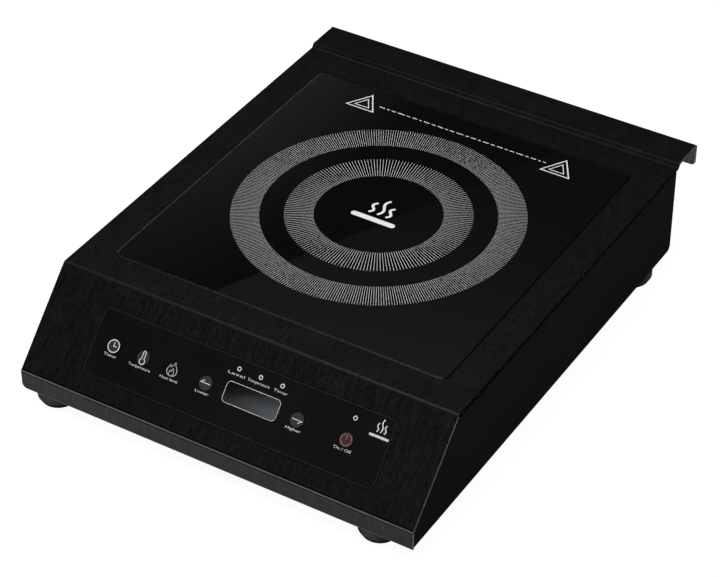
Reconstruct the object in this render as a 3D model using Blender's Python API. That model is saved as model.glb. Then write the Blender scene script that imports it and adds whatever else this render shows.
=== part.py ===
# Counter-top induction cooker with one cooking zone.
#
# Frame: metres, +Z up. The front lip faces -Y, the cable leaves at +Y, +X is
# the user's right. The origin is the centre of the footprint, on the surface
# the rubber feet stand on.
import math

import bpy
import bmesh
from mathutils import Vector

for _old in list(bpy.data.objects):
    bpy.data.objects.remove(_old, do_unlink=True)

MM = 0.001

# ---------------------------------------------------------------- dimensions
WIDTH = 334.0            # over the folded cover
DEPTH = 435.0            # lip to rear flange
FOOT_H = 12.0            # rubber feet
Z_BASE = FOOT_H          # underside of the sheet-metal box
Z_TOP = 89.5             # cooking surface
Z_LEDGE = 92.6           # raised rear ledge
SHEET = 1.0              # cover sheet
Y_LIP = -217.5           # outside of the front lip
Z_BEND = 27.7            # lip to slope
Y_EDGE = -157.1          # slope to flat top
Y_STEP0 = 184.2          # foot of the step
Y_STEP1 = 186.4          # head of the step
Y_REAR = 217.5           # outside of the rear flange
Z_FLANGE = 72.9          # lower edge of the rear flange
Y_BACK = 183.4           # outside of the rear panel
SIDE_X = 166.2           # outside of the side panels, just inside the cover
SIDE_T = 1.2
SIDE_TOP = 87.3          # top of the side panels, below the cover

GLASS_W = 280.0
GLASS_D = 287.0
GLASS_T = 4.0
GLASS_Y = 13.5           # centre of the glass
GLASS_R = 6.0            # corner radius
BEAD = 0.6               # visible width of the sealing bead
GAP = 0.3                # air between touching pieces

PANEL_RUN = Y_EDGE - Y_LIP
PANEL_RISE = Z_TOP - Z_BEND
PANEL_LEN = math.hypot(PANEL_RUN, PANEL_RISE)
PANEL_ANGLE = math.atan2(PANEL_RISE, PANEL_RUN)

OVERLAY_X0, OVERLAY_X1 = -119.3, 127.5
OVERLAY_S0, OVERLAY_S1 = 16.2, 67.5
OVERLAY_N0, OVERLAY_N1 = 0.2, 0.7
KEY_S = 42.0             # all keys sit on one line across the slope
KEY_R = 5.8
KEY_HOLE_R = 6.1
KEYS = (("key_timer", -101.7), ("key_temperature", -75.7), ("key_level", -50.3),
        ("key_less", -21.6), ("key_more", 55.3), ("key_power", 95.5))
KEY_TRAVEL = 0.4
LAMP_R = 1.8
LAMP_HOLE_R = 2.1
LAMPS = (("lamp_level", -0.8, 60.2), ("lamp_temperature", 17.3, 60.2),
         ("lamp_timer", 35.5, 60.2), ("lamp_power", 96.2, 58.3))
DISPLAY_X0, DISPLAY_X1 = -5.2, 39.0
DISPLAY_S0, DISPLAY_S1 = 34.8, 50.0

FOOT_R = 16.0
FEET = (("front_left", -146.0, -201.3), ("front_right", 131.0, -201.3),
        ("rear_left", -150.5, 149.0), ("rear_right", 150.5, 149.0))

FAN_X, FAN_Y = -82.0, 60.0
FAN_SIZE = 80.0
FAN_DEPTH = 25.0
FAN_BORE = 38.0
GLAND_X, GLAND_Z = 118.0, 36.0
SEAM_Y = 166.0           # base plate ends here, the folded rear panel begins

COIL_R_IN, COIL_R_OUT = 24.0, 92.0


# ------------------------------------------------------------------ helpers
def material(name, colour, rough, metal=0.0, alpha=1.0):
    mat = bpy.data.materials.get(name)
    if mat is None:
        mat = bpy.data.materials.new(name)
        mat.use_nodes = True
        bsdf = mat.node_tree.nodes["Principled BSDF"]
        bsdf.inputs["Base Color"].default_value = (*colour, 1.0)
        bsdf.inputs["Roughness"].default_value = rough
        bsdf.inputs["Metallic"].default_value = metal
        bsdf.inputs["Alpha"].default_value = alpha
        mat.diffuse_color = (*colour, 1.0)
    return mat


def link(name, bm, mat, parent=None, location=None, smooth_deg=None):
    """Turn a bmesh (in millimetres) into a named object in metres."""
    bmesh.ops.remove_doubles(bm, verts=bm.verts, dist=1e-4)
    bmesh.ops.scale(bm, vec=(MM, MM, MM), verts=bm.verts)
    bmesh.ops.recalc_face_normals(bm, faces=bm.faces)
    mesh = bpy.data.meshes.new(name)
    bm.to_mesh(mesh)
    bm.free()
    obj = bpy.data.objects.new(name, mesh)
    bpy.context.scene.collection.objects.link(obj)
    if mat is not None:
        mesh.materials.append(mat)
    if parent is not None:
        obj.parent = parent
    if location is not None:
        obj.location = Vector(location) * MM
    if smooth_deg is not None:
        mesh.shade_smooth()
        mesh.set_sharp_from_angle(angle=math.radians(smooth_deg))
    return obj


def cutter(name, bm, parent=None, location=None):
    obj = link(name, bm, None, parent, location)
    obj.hide_render = True
    obj.display_type = 'WIRE'
    return obj


def boolean(obj, tool, operation='DIFFERENCE'):
    mod = obj.modifiers.new(tool.name, 'BOOLEAN')
    mod.operation = operation
    mod.solver = 'EXACT'
    mod.object = tool
    return mod


def arc(cx, cy, r, a0, a1, n):
    """n+1 points on an arc, angles in degrees."""
    return [(cx + r * math.cos(math.radians(a0 + (a1 - a0) * i / n)),
             cy + r * math.sin(math.radians(a0 + (a1 - a0) * i / n)))
            for i in range(n + 1)]


def circle(cx, cy, r, n=20):
    return arc(cx, cy, r, 0, 360, n)[:-1]


def round_rect(x0, y0, x1, y1, r, n=4):
    if r <= 0:
        return [(x0, y0), (x1, y0), (x1, y1), (x0, y1)]
    return (arc(x1 - r, y0 + r, r, -90, 0, n) + arc(x1 - r, y1 - r, r, 0, 90, n)
            + arc(x0 + r, y1 - r, r, 90, 180, n) + arc(x0 + r, y0 + r, r, 180, 270, n))


def slot(cx, cy, length, width, angle=0.0, n=3):
    """Outline of a slot with round ends, its long side along angle (deg)."""
    h = (length - width) / 2
    pts = arc(h, 0, width / 2, -90, 90, n) + arc(-h, 0, width / 2, 90, 270, n)
    c, s = math.cos(math.radians(angle)), math.sin(math.radians(angle))
    return [(cx + x * c - y * s, cy + x * s + y * c) for x, y in pts]


def fillet(points, radii, n=4):
    """Open polyline with each inner corner rounded to its radius."""
    out = [points[0]]
    for i in range(1, len(points) - 1):
        p, a, b = Vector(points[i]), Vector(points[i - 1]), Vector(points[i + 1])
        r = radii[i - 1]
        u, v = (a - p).normalized(), (b - p).normalized()
        half = math.acos(max(-1, min(1, u.dot(v)))) / 2
        if r <= 0 or abs(half - math.pi / 2) < 1e-6:
            out.append(tuple(p))
            continue
        centre = p + (u + v).normalized() * (r / math.sin(half))
        t0 = p + u * (r / math.tan(half))
        t1 = p + v * (r / math.tan(half))
        d0, d1 = t0 - centre, t1 - centre
        a0, a1 = math.atan2(d0.y, d0.x), math.atan2(d1.y, d1.x)
        turn = (a1 - a0 + math.pi) % (2 * math.pi) - math.pi
        out += [(centre.x + r * math.cos(a0 + turn * k / n),
                 centre.y + r * math.sin(a0 + turn * k / n)) for k in range(n + 1)]
    out.append(points[-1])
    return out


def offset(points, d):
    """Open polyline moved sideways by d (to its right hand side)."""
    out = []
    for i, p in enumerate(points):
        p = Vector(p)
        dirs = []
        if i > 0:
            dirs.append((p - Vector(points[i - 1])).normalized())
        if i < len(points) - 1:
            dirs.append((Vector(points[i + 1]) - p).normalized())
        normals = [Vector((v.y, -v.x)) for v in dirs]
        m = sum(normals, Vector((0, 0))).normalized()
        out.append(tuple(p + m * (d / max(0.2, m.dot(normals[0])))))
    return out


def prism(outline, holes, z0, z1, to3d=lambda x, y, z: (x, y, z)):
    """Plate with holes: the outline is filled, then extruded from z0 to z1."""
    bm = bmesh.new()
    edges = []
    for loop in [outline] + list(holes):
        verts = [bm.verts.new((x, y, 0.0)) for x, y in loop]
        edges += [bm.edges.new((verts[i], verts[(i + 1) % len(verts)]))
                  for i in range(len(verts))]
    bmesh.ops.triangle_fill(bm, use_beauty=True, use_dissolve=False, edges=edges,
                            normal=(0, 0, 1))
    bmesh.ops.recalc_face_normals(bm, faces=bm.faces)
    result = bmesh.ops.extrude_face_region(bm, geom=list(bm.faces))
    top = [g for g in result['geom'] if isinstance(g, bmesh.types.BMVert)]
    top_set = set(top)
    for v in bm.verts:
        v.co.z = z1 if v in top_set else z0
    for v in bm.verts:
        v.co = Vector(to3d(*v.co))
    return bm


def extrude_profile(profile, x0, x1):
    """Closed YZ profile swept along X."""
    return prism(profile, [], x0, x1, lambda y, z, x: (x, y, z))


def box(x0, y0, z0, x1, y1, z1):
    bm = bmesh.new()
    bmesh.ops.create_cube(bm, size=1.0)
    bmesh.ops.scale(bm, vec=(x1 - x0, y1 - y0, z1 - z0), verts=bm.verts)
    bmesh.ops.translate(bm, vec=((x0 + x1) / 2, (y0 + y1) / 2, (z0 + z1) / 2),
                        verts=bm.verts)
    return bm


def cylinder(cx, cy, z0, z1, r, n=20, r_top=None):
    bm = bmesh.new()
    bmesh.ops.create_cone(bm, cap_ends=True, segments=n, radius1=r,
                          radius2=r if r_top is None else r_top, depth=z1 - z0)
    bmesh.ops.translate(bm, vec=(cx, cy, (z0 + z1) / 2), verts=bm.verts)
    return bm


def turned(profile, n=20, closed=False, cx=0.0, cy=0.0):
    """Profile of (radius, z) points spun about Z. Points at radius 0 lie on
    the axis; a closed profile gives a ring."""
    bm = bmesh.new()
    rings = []
    for r, z in profile:
        if r < 1e-6:
            rings.append([bm.verts.new((cx, cy, z))])
        else:
            rings.append([bm.verts.new((cx + r * math.cos(2 * math.pi * i / n),
                                        cy + r * math.sin(2 * math.pi * i / n), z))
                          for i in range(n)])
    pairs = list(zip(rings, rings[1:]))
    if closed:
        pairs.append((rings[-1], rings[0]))
    for a, b in pairs:
        for i in range(n):
            j = (i + 1) % n
            if len(a) == 1 and len(b) == 1:
                break
            if len(a) == 1:
                bm.faces.new((a[0], b[i], b[j]))
            elif len(b) == 1:
                bm.faces.new((a[i], a[j], b[0]))
            else:
                bm.faces.new((a[i], a[j], b[j], b[i]))
    return bm


def ring_section(section, path_fn):
    """Closed (distance outward, z) section carried round a rounded rectangle.
    path_fn(distance) gives the loop of points at that outward distance."""
    bm = bmesh.new()
    loops = []
    for d, z in section:
        loops.append([bm.verts.new((x, y, z)) for x, y in path_fn(d)])
    count = len(loops[0])
    for k in range(len(loops)):
        a, b = loops[k], loops[(k + 1) % len(loops)]
        for i in range(count):
            j = (i + 1) % count
            bm.faces.new((a[i], a[j], b[j], b[i]))
    return bm


def glass_loop(d, n=4):
    r = max(0.8, GLASS_R + d)
    return round_rect(-GLASS_W / 2 - d, GLASS_Y - GLASS_D / 2 - d,
                      GLASS_W / 2 + d, GLASS_Y + GLASS_D / 2 + d, r, n)


# ------------------------------------------------------------------ materials
M_BLACK = material("black_coated_steel", (0.010, 0.010, 0.010), 0.42, 0.3)
M_BRUSHED = material("black_brushed_steel", (0.014, 0.014, 0.014), 0.38, 0.6)
M_GLASS = material("black_glass_ceramic", (0.003, 0.003, 0.004), 0.04)
M_BEAD = material("grey_sealant", (0.16, 0.16, 0.16), 0.5)
M_OVERLAY = material("black_overlay", (0.006, 0.006, 0.006), 0.3)
M_KEY = material("key_plastic", (0.03, 0.031, 0.03), 0.4)
M_LENS = material("smoked_window", (0.05, 0.05, 0.052), 0.1)
M_LAMP = material("lamp_lens", (0.02, 0.006, 0.006), 0.2)
M_RUBBER = material("foot_rubber", (0.028, 0.02, 0.019), 0.75)
M_SCREW = material("zinc_screw", (0.45, 0.45, 0.46), 0.35, 1.0)
M_GALV = material("galvanised_steel", (0.4, 0.41, 0.42), 0.4, 1.0)
M_PLASTIC = material("black_plastic", (0.012, 0.012, 0.012), 0.5)
M_BOARD = material("circuit_board", (0.01, 0.09, 0.03), 0.4)
M_COPPER = material("enamelled_copper", (0.45, 0.16, 0.05), 0.35, 0.9)
M_FERRITE = material("ferrite", (0.03, 0.03, 0.032), 0.6)
M_MICA = material("mica", (0.5, 0.45, 0.33), 0.5)
M_ALU = material("aluminium", (0.6, 0.6, 0.62), 0.35, 1.0)
M_SPRING = material("spring_steel", (0.4, 0.4, 0.4), 0.3, 1.0)
M_SWITCH = material("switch_plastic", (0.02, 0.02, 0.022), 0.5)
M_FILM = material("film_capacitor", (0.55, 0.35, 0.03), 0.4)
M_RIBBON = material("ribbon_cable", (0.35, 0.35, 0.36), 0.5)

# ------------------------------------------------------------------ top cover
# One folded sheet. The profile runs from the lip's lower edge, up the control
# slope, over the flat top, up the small step, along the ledge and down the
# rear flange. The inner side is the outer side moved in by the thickness.
cover_line = [(Y_LIP, Z_BASE), (Y_LIP, Z_BEND), (Y_EDGE, Z_TOP), (Y_STEP0, Z_TOP),
              (Y_STEP1, Z_LEDGE), (Y_REAR, Z_LEDGE), (Y_REAR, Z_FLANGE)]
cover_outer = fillet(cover_line, (2.2, 3.2, 0.5, 1.0, 1.8), n=5)
cover_core = offset(cover_line, SHEET)
cover_inner = fillet(cover_core, (1.2, 2.2, 1.5, 0.4, 0.8), n=5)
cover = link("top_cover", extrude_profile(cover_outer + cover_inner[::-1],
                                          -WIDTH / 2, WIDTH / 2),
             M_BRUSHED, smooth_deg=28)

glass_cut = cutter("cut_glass", prism(glass_loop(BEAD + 2 * GAP), [], Z_TOP - 4, Z_TOP + 4))
boolean(cover, glass_cut)

# Everything on the slope is placed in the slope's own frame: X across,
# Y up the slope from the lip bend, Z out of the face.
panel = bpy.data.objects.new("panel_frame", None)
bpy.context.scene.collection.objects.link(panel)
panel.location = (0.0, Y_LIP * MM, Z_BEND * MM)
panel.rotation_euler = (PANEL_ANGLE, 0.0, 0.0)

panel_cut = cutter("cut_panel", prism(round_rect(-114.0, 20.0, 122.5, 64.0, 3.0), [], -4, 4),
                   parent=panel)
boolean(cover, panel_cut)


def corner_cutter(name, x_corner, z_corner, side, r, y0, y1, n=6):
    """Square less a quarter disc, to round the lower corner of a flange.
    side is +1 for the corner at +X, -1 for the one at -X."""
    cx, cz = x_corner - side * r, z_corner + r
    quarter = arc(cx, cz, r, -90, 0, n) if side > 0 else arc(cx, cz, r, 270, 180, n)
    loop = quarter + [(x_corner + side * 2, cz), (x_corner + side * 2, z_corner - 2),
                      (cx, z_corner - 2)]
    return cutter(name, prism(loop, [], y0, y1, lambda x, z, y: (x, y, z)))


for i, (x, z, side, r, y0, y1) in enumerate((
        (-WIDTH / 2, Z_BASE, -1, 4.5, Y_LIP - 2, Y_LIP + SHEET + 0.1),
        (WIDTH / 2, Z_BASE, 1, 0.5, Y_LIP - 2, Y_LIP + SHEET + 0.1),
        (-WIDTH / 2, Z_FLANGE, -1, 4.0, Y_REAR - SHEET - 0.1, Y_REAR + 2),
        (WIDTH / 2, Z_FLANGE, 1, 4.0, Y_REAR - SHEET - 0.1, Y_REAR + 2))):
    boolean(cover, corner_cutter("cut_corner_%d" % i, x, z, side, r, y0, y1))

# ------------------------------------------------------------------ side panels
# A flat plate that follows the cover's inside, with a rounded lower rear
# corner, and two folded-in flanges: one under the cover, one on the base.
inside = offset(cover_line, SHEET + GAP)
lip_y = inside[1][0]
bend_z = inside[1][1]
slope_dir = Vector((PANEL_RUN, PANEL_RISE)) / PANEL_LEN
top_y = lip_y + (SIDE_TOP - bend_z) * slope_dir.x / slope_dir.y
side_outline = ([(lip_y, Z_BASE)]
                + arc(Y_BACK - 5.0, Z_BASE + 5.0, 5.0, -90, 0, 5)
                + [(Y_BACK, SIDE_TOP), (top_y, SIDE_TOP), (lip_y, bend_z)])
for name, side in (("side_panel_left", -1), ("side_panel_right", 1)):
    plate = link(name, extrude_profile(side_outline, side * SIDE_X,
                                       side * (SIDE_X - SIDE_T)), M_BLACK)
    x0, x1 = sorted((side * (SIDE_X - 0.2), side * (SIDE_X - 11)))
    rim = cutter(name + "_rim", box(x0, top_y + 1, SIDE_TOP - 1.2, x1, Y_BACK - 2.4, SIDE_TOP - 0.0))
    boolean(plate, rim, 'UNION')
    shelf = cutter(name + "_shelf", box(x0, Y_LIP + 14, Z_BASE + 1.3, x1, Y_BACK - 8, Z_BASE + 2.3))
    boolean(plate, shelf, 'UNION')
    for tag, fx, fy in FEET:
        if fx * side > 0:
            hole = cutter(name + "_foot_" + tag, cylinder(fx, fy, Z_BASE - 2, Z_BASE + 8, 6.5, 16))
            boolean(plate, hole)

# ------------------------------------------------------------------ base plate
base_x = SIDE_X - SIDE_T - GAP
base_y0, base_y1 = Y_LIP + SHEET + GAP, SEAM_Y
base_holes = []
for tag, fx, fy in FEET:
    base_holes.append(circle(fx, fy, 2.3, 12))
# air intake: rows of slots under the fan, shortened to stay in a disc
row = -4
while row <= 4:
    half = math.sqrt(max(0.0, 36.5 ** 2 - (row * 8.0) ** 2))
    if half > 12:
        base_holes.append(slot(FAN_X - half / 2 - 1.6, FAN_Y + row * 8.0, half - 3.2, 3.4))
        base_holes.append(slot(FAN_X + half / 2 + 1.6, FAN_Y + row * 8.0, half - 3.2, 3.4))
    row += 1
# two rows of slots near the front, under the control board
for k in range(6):
    base_holes.append(slot(-62.5 + k * 25.0, -150.0, 18.0, 3.4))
    base_holes.append(slot(-62.5 + k * 25.0, -141.0, 18.0, 3.4))
base = link("base_plate", prism(round_rect(-base_x, base_y0, base_x, base_y1, 1.0, 2),
                                base_holes, Z_BASE, Z_BASE + SHEET), M_BLACK)
BOARD_X0, BOARD_X1, BOARD_Y0, BOARD_Y1 = 8.0, 154.0, -118.0, 138.0
for i, (px, py) in enumerate(((BOARD_X0 + 6, BOARD_Y0 + 6), (BOARD_X1 - 6, BOARD_Y0 + 6),
                              (BOARD_X0 + 6, BOARD_Y1 - 6), (BOARD_X1 - 6, BOARD_Y1 - 6))):
    boss = cutter("boss_%d" % i, cylinder(px, py, Z_BASE + 0.4, 18.7, 3.5, 12))
    boolean(base, boss, 'UNION')

# ------------------------------------------------------------------ rear panel
# Folded from one sheet: a short leg in line with the base plate, a bend that
# matches the side panels' rounded corner, then the upright wall.
rear_line = [(SEAM_Y + GAP, Z_BASE), (Y_BACK, Z_BASE), (Y_BACK, 88.1)]
rear_profile = (fillet(rear_line, (5.0,), n=5)
                + fillet(offset(rear_line, -SHEET), (4.0,), n=5)[::-1])
rear = link("rear_panel", extrude_profile(rear_profile, -base_x, base_x), M_BLACK,
            smooth_deg=28)
for k in range(14):
    x = -140.0 + k * 15.0
    vent = cutter("cut_vent_%02d" % k, prism(slot(x, 49.0, 34.0, 3.6, angle=90.0), [],
                                             Y_BACK - 4, Y_BACK + 4, lambda x, z, y: (x, y, z)))
    boolean(rear, vent)
boolean(rear, cutter("cut_gland", prism(circle(GLAND_X, GLAND_Z, 8.3, 20), [], Y_BACK - 4,
                                        Y_BACK + 4, lambda x, z, y: (x, y, z))))

# ------------------------------------------------------------------ glass
# The plate lies flush in the cover's cut-out. Its top edge is ground off.
def lofted(levels):
    """Closed body through stacked loops, capped at both ends."""
    bm = bmesh.new()
    rings = [[bm.verts.new((x, y, z)) for x, y in loop] for loop, z in levels]
    count = len(rings[0])
    for a, b in zip(rings, rings[1:]):
        for i in range(count):
            j = (i + 1) % count
            bm.faces.new((a[i], a[j], b[j], b[i]))
    bm.faces.new(rings[0][::-1])
    bm.faces.new(rings[-1])
    return bm


link("glass_plate", lofted([(glass_loop(0.0), Z_TOP - GLASS_T), (glass_loop(0.0), Z_TOP - 0.5),
                            (glass_loop(-0.4), Z_TOP)]), M_GLASS)

# Sealing bead: an L in section, one leg under the glass, one up its edge.
seal_lo, seal_hi = Z_TOP - GLASS_T - GAP - 1.0, Z_TOP - GLASS_T - GAP
link("glass_seal", ring_section([(-10.0, seal_lo), (GAP + BEAD, seal_lo), (GAP + BEAD, Z_TOP - 0.1),
                                 (GAP, Z_TOP - 0.1), (GAP, seal_hi), (-10.0, seal_hi)], glass_loop),
     M_BEAD)

# Carrier frame: a Z in section, fixed under the cover, holds seal and glass.
fr_lo, fr_hi = seal_lo - GAP - 1.0, seal_lo - GAP
under = Z_TOP - SHEET - GAP
link("glass_frame", ring_section([(-12.0, fr_lo), (3.0, fr_lo), (3.0, under - 1.0), (11.0, under - 1.0),
                                  (11.0, under), (2.0, under), (2.0, fr_hi), (-12.0, fr_hi)], glass_loop),
     M_GALV)

# ------------------------------------------------------------------ control panel
overlay_holes = [circle(x, KEY_S, KEY_HOLE_R, 24) for _, x in KEYS]
overlay_holes += [circle(x, s, LAMP_HOLE_R, 12) for _, x, s in LAMPS]
overlay_holes.append(round_rect(DISPLAY_X0, DISPLAY_S0, DISPLAY_X1, DISPLAY_S1, 3.0, 4))
link("control_overlay", prism(round_rect(OVERLAY_X0, OVERLAY_S0, OVERLAY_X1, OVERLAY_S1, 5.0, 6),
                              overlay_holes, OVERLAY_N0, OVERLAY_N1), M_OVERLAY, parent=panel)

for name, x in KEYS:
    # cap, retaining collar under the overlay, stem that enters the switch
    profile = [(0.0, 0.80), (KEY_R - 0.3, 0.80), (KEY_R, 0.55), (KEY_R, -0.30), (6.9, -0.30),
               (6.9, -1.10), (1.4, -1.10), (1.4, -4.60), (0.0, -4.60)]
    link(name, turned(profile, 24), M_KEY, parent=panel, location=(x, KEY_S, 0.0), smooth_deg=30)

for name, x in KEYS:
    block = prism(round_rect(-3.0, -3.0, 3.0, 3.0, 0.0), [], -6.6, -3.1)
    sw = link("switch" + name[3:], block, M_SWITCH, parent=panel, location=(x, KEY_S, 0.0))
    well = cutter("well" + name[3:], cylinder(0, 0, -5.8, -2.5, 1.75, 14), parent=panel,
                  location=(x, KEY_S, 0.0))
    boolean(sw, well)

for name, x, s in LAMPS:
    profile = [(0.0, 0.65), (LAMP_R * 0.6, 0.60), (LAMP_R, 0.30), (LAMP_R, -5.6),
               (LAMP_R + 0.4, -5.6), (LAMP_R + 0.4, -6.6), (0.0, -6.6)]
    link(name, turned(profile, 12), M_LAMP, parent=panel, location=(x, s, 0.0), smooth_deg=35)

link("display_window", prism(round_rect(DISPLAY_X0 + GAP, DISPLAY_S0 + GAP, DISPLAY_X1 - GAP,
                                        DISPLAY_S1 - GAP, 2.7, 4), [], -1.2, 0.55),
     M_LENS, parent=panel)
link("display_module", box(DISPLAY_X0 + 2, DISPLAY_S0 + 1.2, -6.6, DISPLAY_X1 - 2,
                           DISPLAY_S1 - 1.2, -1.6), M_PLASTIC, parent=panel)
carrier_out = round_rect(-118.0, 14.0, 126.0, 69.0, 3.0, 3)
carrier_in = round_rect(-112.0, 22.0, 120.0, 63.5, 2.0, 3)
link("keypad_carrier", prism(carrier_out, [carrier_in], -6.6, -1.3), M_PLASTIC, parent=panel)
link("control_board", prism(round_rect(-117.0, 15.0, 125.0, 68.0, 1.0, 2), [], -8.5, -6.9),
     M_BOARD, parent=panel)

# ------------------------------------------------------------------ feet
for tag, fx, fy in FEET:
    profile = [(2.3, 4.6), (4.8, 4.6), (4.8, 0.0), (13.2, 0.0), (14.4, 0.9), (FOOT_R, 5.0),
               (FOOT_R, 9.6), (FOOT_R - 0.6, 11.7), (2.3, 11.7)]
    link("foot_" + tag, turned(profile, 24, closed=True), M_RUBBER, location=(fx, fy, 0.0),
         smooth_deg=40)
    screw = [(0.0, 2.3), (2.6, 2.5), (3.8, 3.1), (4.1, 4.3), (1.9, 4.3), (1.9, 16.0), (0.0, 16.0)]
    link("foot_screw_" + tag, turned(screw, 16), M_SCREW, location=(fx, fy, 0.0), smooth_deg=35)

# ------------------------------------------------------------------ cable gland
# Turned about Y; the cable passes through the middle.
gland = bpy.data.objects.new("gland_frame", None)
bpy.context.scene.collection.objects.link(gland)
gland.location = (GLAND_X * MM, Y_BACK * MM, GLAND_Z * MM)
gland.rotation_euler = (-math.pi / 2, 0.0, 0.0)   # local +Z points to the rear
link("cable_gland", turned([(4.4, -12.0), (7.6, -12.0), (7.6, 0.3), (11.0, 0.3), (11.0, 4.5),
                                   (9.6, 6.0), (9.6, 15.0), (8.6, 18.0), (6.6, 19.6), (4.4, 19.6)],
                                  24, closed=True), M_PLASTIC, parent=gland, smooth_deg=35)
link("gland_nut", prism(circle(0, 0, 11.5, 6), [circle(0, 0, 7.9, 18)], -5.8, -1.3),
     M_PLASTIC, parent=gland)

# ------------------------------------------------------------------ induction coil
MICA_HI = Z_TOP - GLASS_T - 0.8
link("mica_sheet", prism(circle(0, GLASS_Y, 100.0, 40), [circle(0, GLASS_Y, 9.0, 16)],
                         MICA_HI - 0.6, MICA_HI), M_MICA)
turns = []
for k in range(7):            # wound copper, its layers seen as low ridges
    r = COIL_R_IN + (COIL_R_OUT - COIL_R_IN) * k / 6
    turns.append((r, MICA_HI - (1.0 if k % 2 == 0 else 1.5)))
turns += [(COIL_R_OUT, MICA_HI - 6.0), (COIL_R_IN, MICA_HI - 6.0)]
link("coil_winding", turned(turns, 36, closed=True, cx=0.0, cy=GLASS_Y), M_COPPER, smooth_deg=50)

disc_hi = MICA_HI - 6.3
disc_lo = disc_hi - 3.5
carrier_holes = [circle(0, GLASS_Y, 6.0, 18)]
for k in range(6):
    a = math.radians(60 * k + 30)
    carrier_holes.append(circle(58 * math.cos(a), GLASS_Y + 58 * math.sin(a), 13.0, 12))
coil_carrier = link("coil_carrier", prism(circle(0, GLASS_Y, 97.0, 36), carrier_holes,
                                          disc_lo, disc_hi), M_PLASTIC)
for k, (lx, ly) in enumerate(((-62.0, -52.0), (-4.0, 98.0), (-4.0, -70.0))):
    leg = cutter("coil_leg_%d" % k, cylinder(lx, ly, Z_BASE + SHEET + GAP, disc_lo + 1.0, 4.0, 12))
    boolean(coil_carrier, leg, 'UNION')

for k, (ux, uy) in enumerate(((1, 0), (0, 1), (-1, 0), (0, -1))):
    lo, hi = 28.0, 84.0
    if uy == 0:
        bar = box(min(ux * lo, ux * hi), GLASS_Y - 6, disc_lo - 5.3, max(ux * lo, ux * hi),
                  GLASS_Y + 6, disc_lo - 0.3)
    else:
        bar = box(9, GLASS_Y + min(uy * lo, uy * hi), disc_lo - 5.3, 21,
                  GLASS_Y + max(uy * lo, uy * hi), disc_lo - 0.3)
    link("ferrite_bar_%d" % (k + 1), bar, M_FERRITE)

# Temperature sensor: a headed pin that slides in the carrier's centre hole,
# pressed against the glass by a coil spring.
sensor_top = Z_TOP - GLASS_T - GAP
link("temperature_sensor", turned([(0.0, sensor_top), (5.0, sensor_top), (5.3, sensor_top - 0.4),
                                   (5.3, sensor_top - 4.0), (2.6, sensor_top - 4.0),
                                   (2.6, disc_lo - 6.0), (0.0, disc_lo - 6.0)], 20),
     M_ALU, location=(0, GLASS_Y, 0), smooth_deg=35)
# The sprung length runs from the sensor's head down to a seat on the carrier:
# a plastic cup that hangs in the same hole.
cup_floor = disc_hi - 9.0
link("sensor_cup", turned([(3.0, cup_floor - 1.5), (8.6, cup_floor - 1.5), (8.6, disc_lo - GAP),
                           (5.7, disc_lo - GAP), (5.7, cup_floor), (3.0, cup_floor)], 20, closed=True),
     M_PLASTIC, location=(0, GLASS_Y, 0))

spring_lo, spring_hi = cup_floor + 0.7, sensor_top - 4.0 - 0.7
coil_points = []
SPRING_TURNS = 4
for i in range(SPRING_TURNS * 12 + 1):
    a = 2 * math.pi * i / 12
    coil_points.append(Vector((4.1 * math.cos(a), 4.1 * math.sin(a),
                               spring_lo + (spring_hi - spring_lo) * i / (SPRING_TURNS * 12))))
curve = bpy.data.curves.new("sensor_spring", 'CURVE')
curve.dimensions = '3D'
curve.bevel_depth = 0.4 * MM
curve.bevel_resolution = 0
curve.use_fill_caps = True
spl = curve.splines.new('POLY')
spl.points.add(len(coil_points) - 1)
for p, c in zip(spl.points, coil_points):
    p.co = (c.x * MM, c.y * MM, c.z * MM, 1.0)
spring = bpy.data.objects.new("sensor_spring", curve)
bpy.context.scene.collection.objects.link(spring)
curve.materials.append(M_SPRING)
spring.location = (0.0, GLASS_Y * MM, 0.0)

# ------------------------------------------------------------------ power board
board_lo, board_hi = 19.0, 20.6
link("power_board", prism([(BOARD_X0, BOARD_Y0), (BOARD_X1, BOARD_Y0), (BOARD_X1, BOARD_Y1),
                           (BOARD_X0, BOARD_Y1)], [], board_lo, board_hi), M_BOARD)
on = board_hi + GAP
# heat sink: fins run along X, in the fan's air stream
fins = [(-20.0, on), (80.0, on)]
for k in range(10, -1, -1):
    y = -20.0 + k * 9.85
    fins += [(y + 1.5, on + 30.0), (y, on + 30.0)]
    if k > 0:
        fins += [(y, on + 5.0), (y - 8.35, on + 5.0)]
link("heat_sink", extrude_profile(fins, 16.0, 84.0), M_ALU)
link("power_transistor", box(88.0, 20.0, on, 93.0, 36.0, on + 20.0), M_PLASTIC)
link("resonance_capacitor", lofted([(round_rect(98, -70, 140, -42, 2, 2), on),
                                    (round_rect(98, -70, 140, -42, 2, 2), on + 30)]), M_FILM)
link("filter_capacitor", lofted([(round_rect(100, -30, 132, -14, 2, 2), on),
                                 (round_rect(100, -30, 132, -14, 2, 2), on + 24)]), M_FILM)
choke_profile = [(14.0 + 6.0 * math.cos(2 * math.pi * i / 8), on + 6.3 + 6.0 * math.sin(2 * math.pi * i / 8))
                 for i in range(8)]
link("choke", turned(choke_profile, 20, closed=True, cx=124.0, cy=22.0), M_COPPER, smooth_deg=60)
link("terminal_block", box(104.0, 110.0, on, 136.0, 124.0, on + 14.0), M_PLASTIC)

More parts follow.
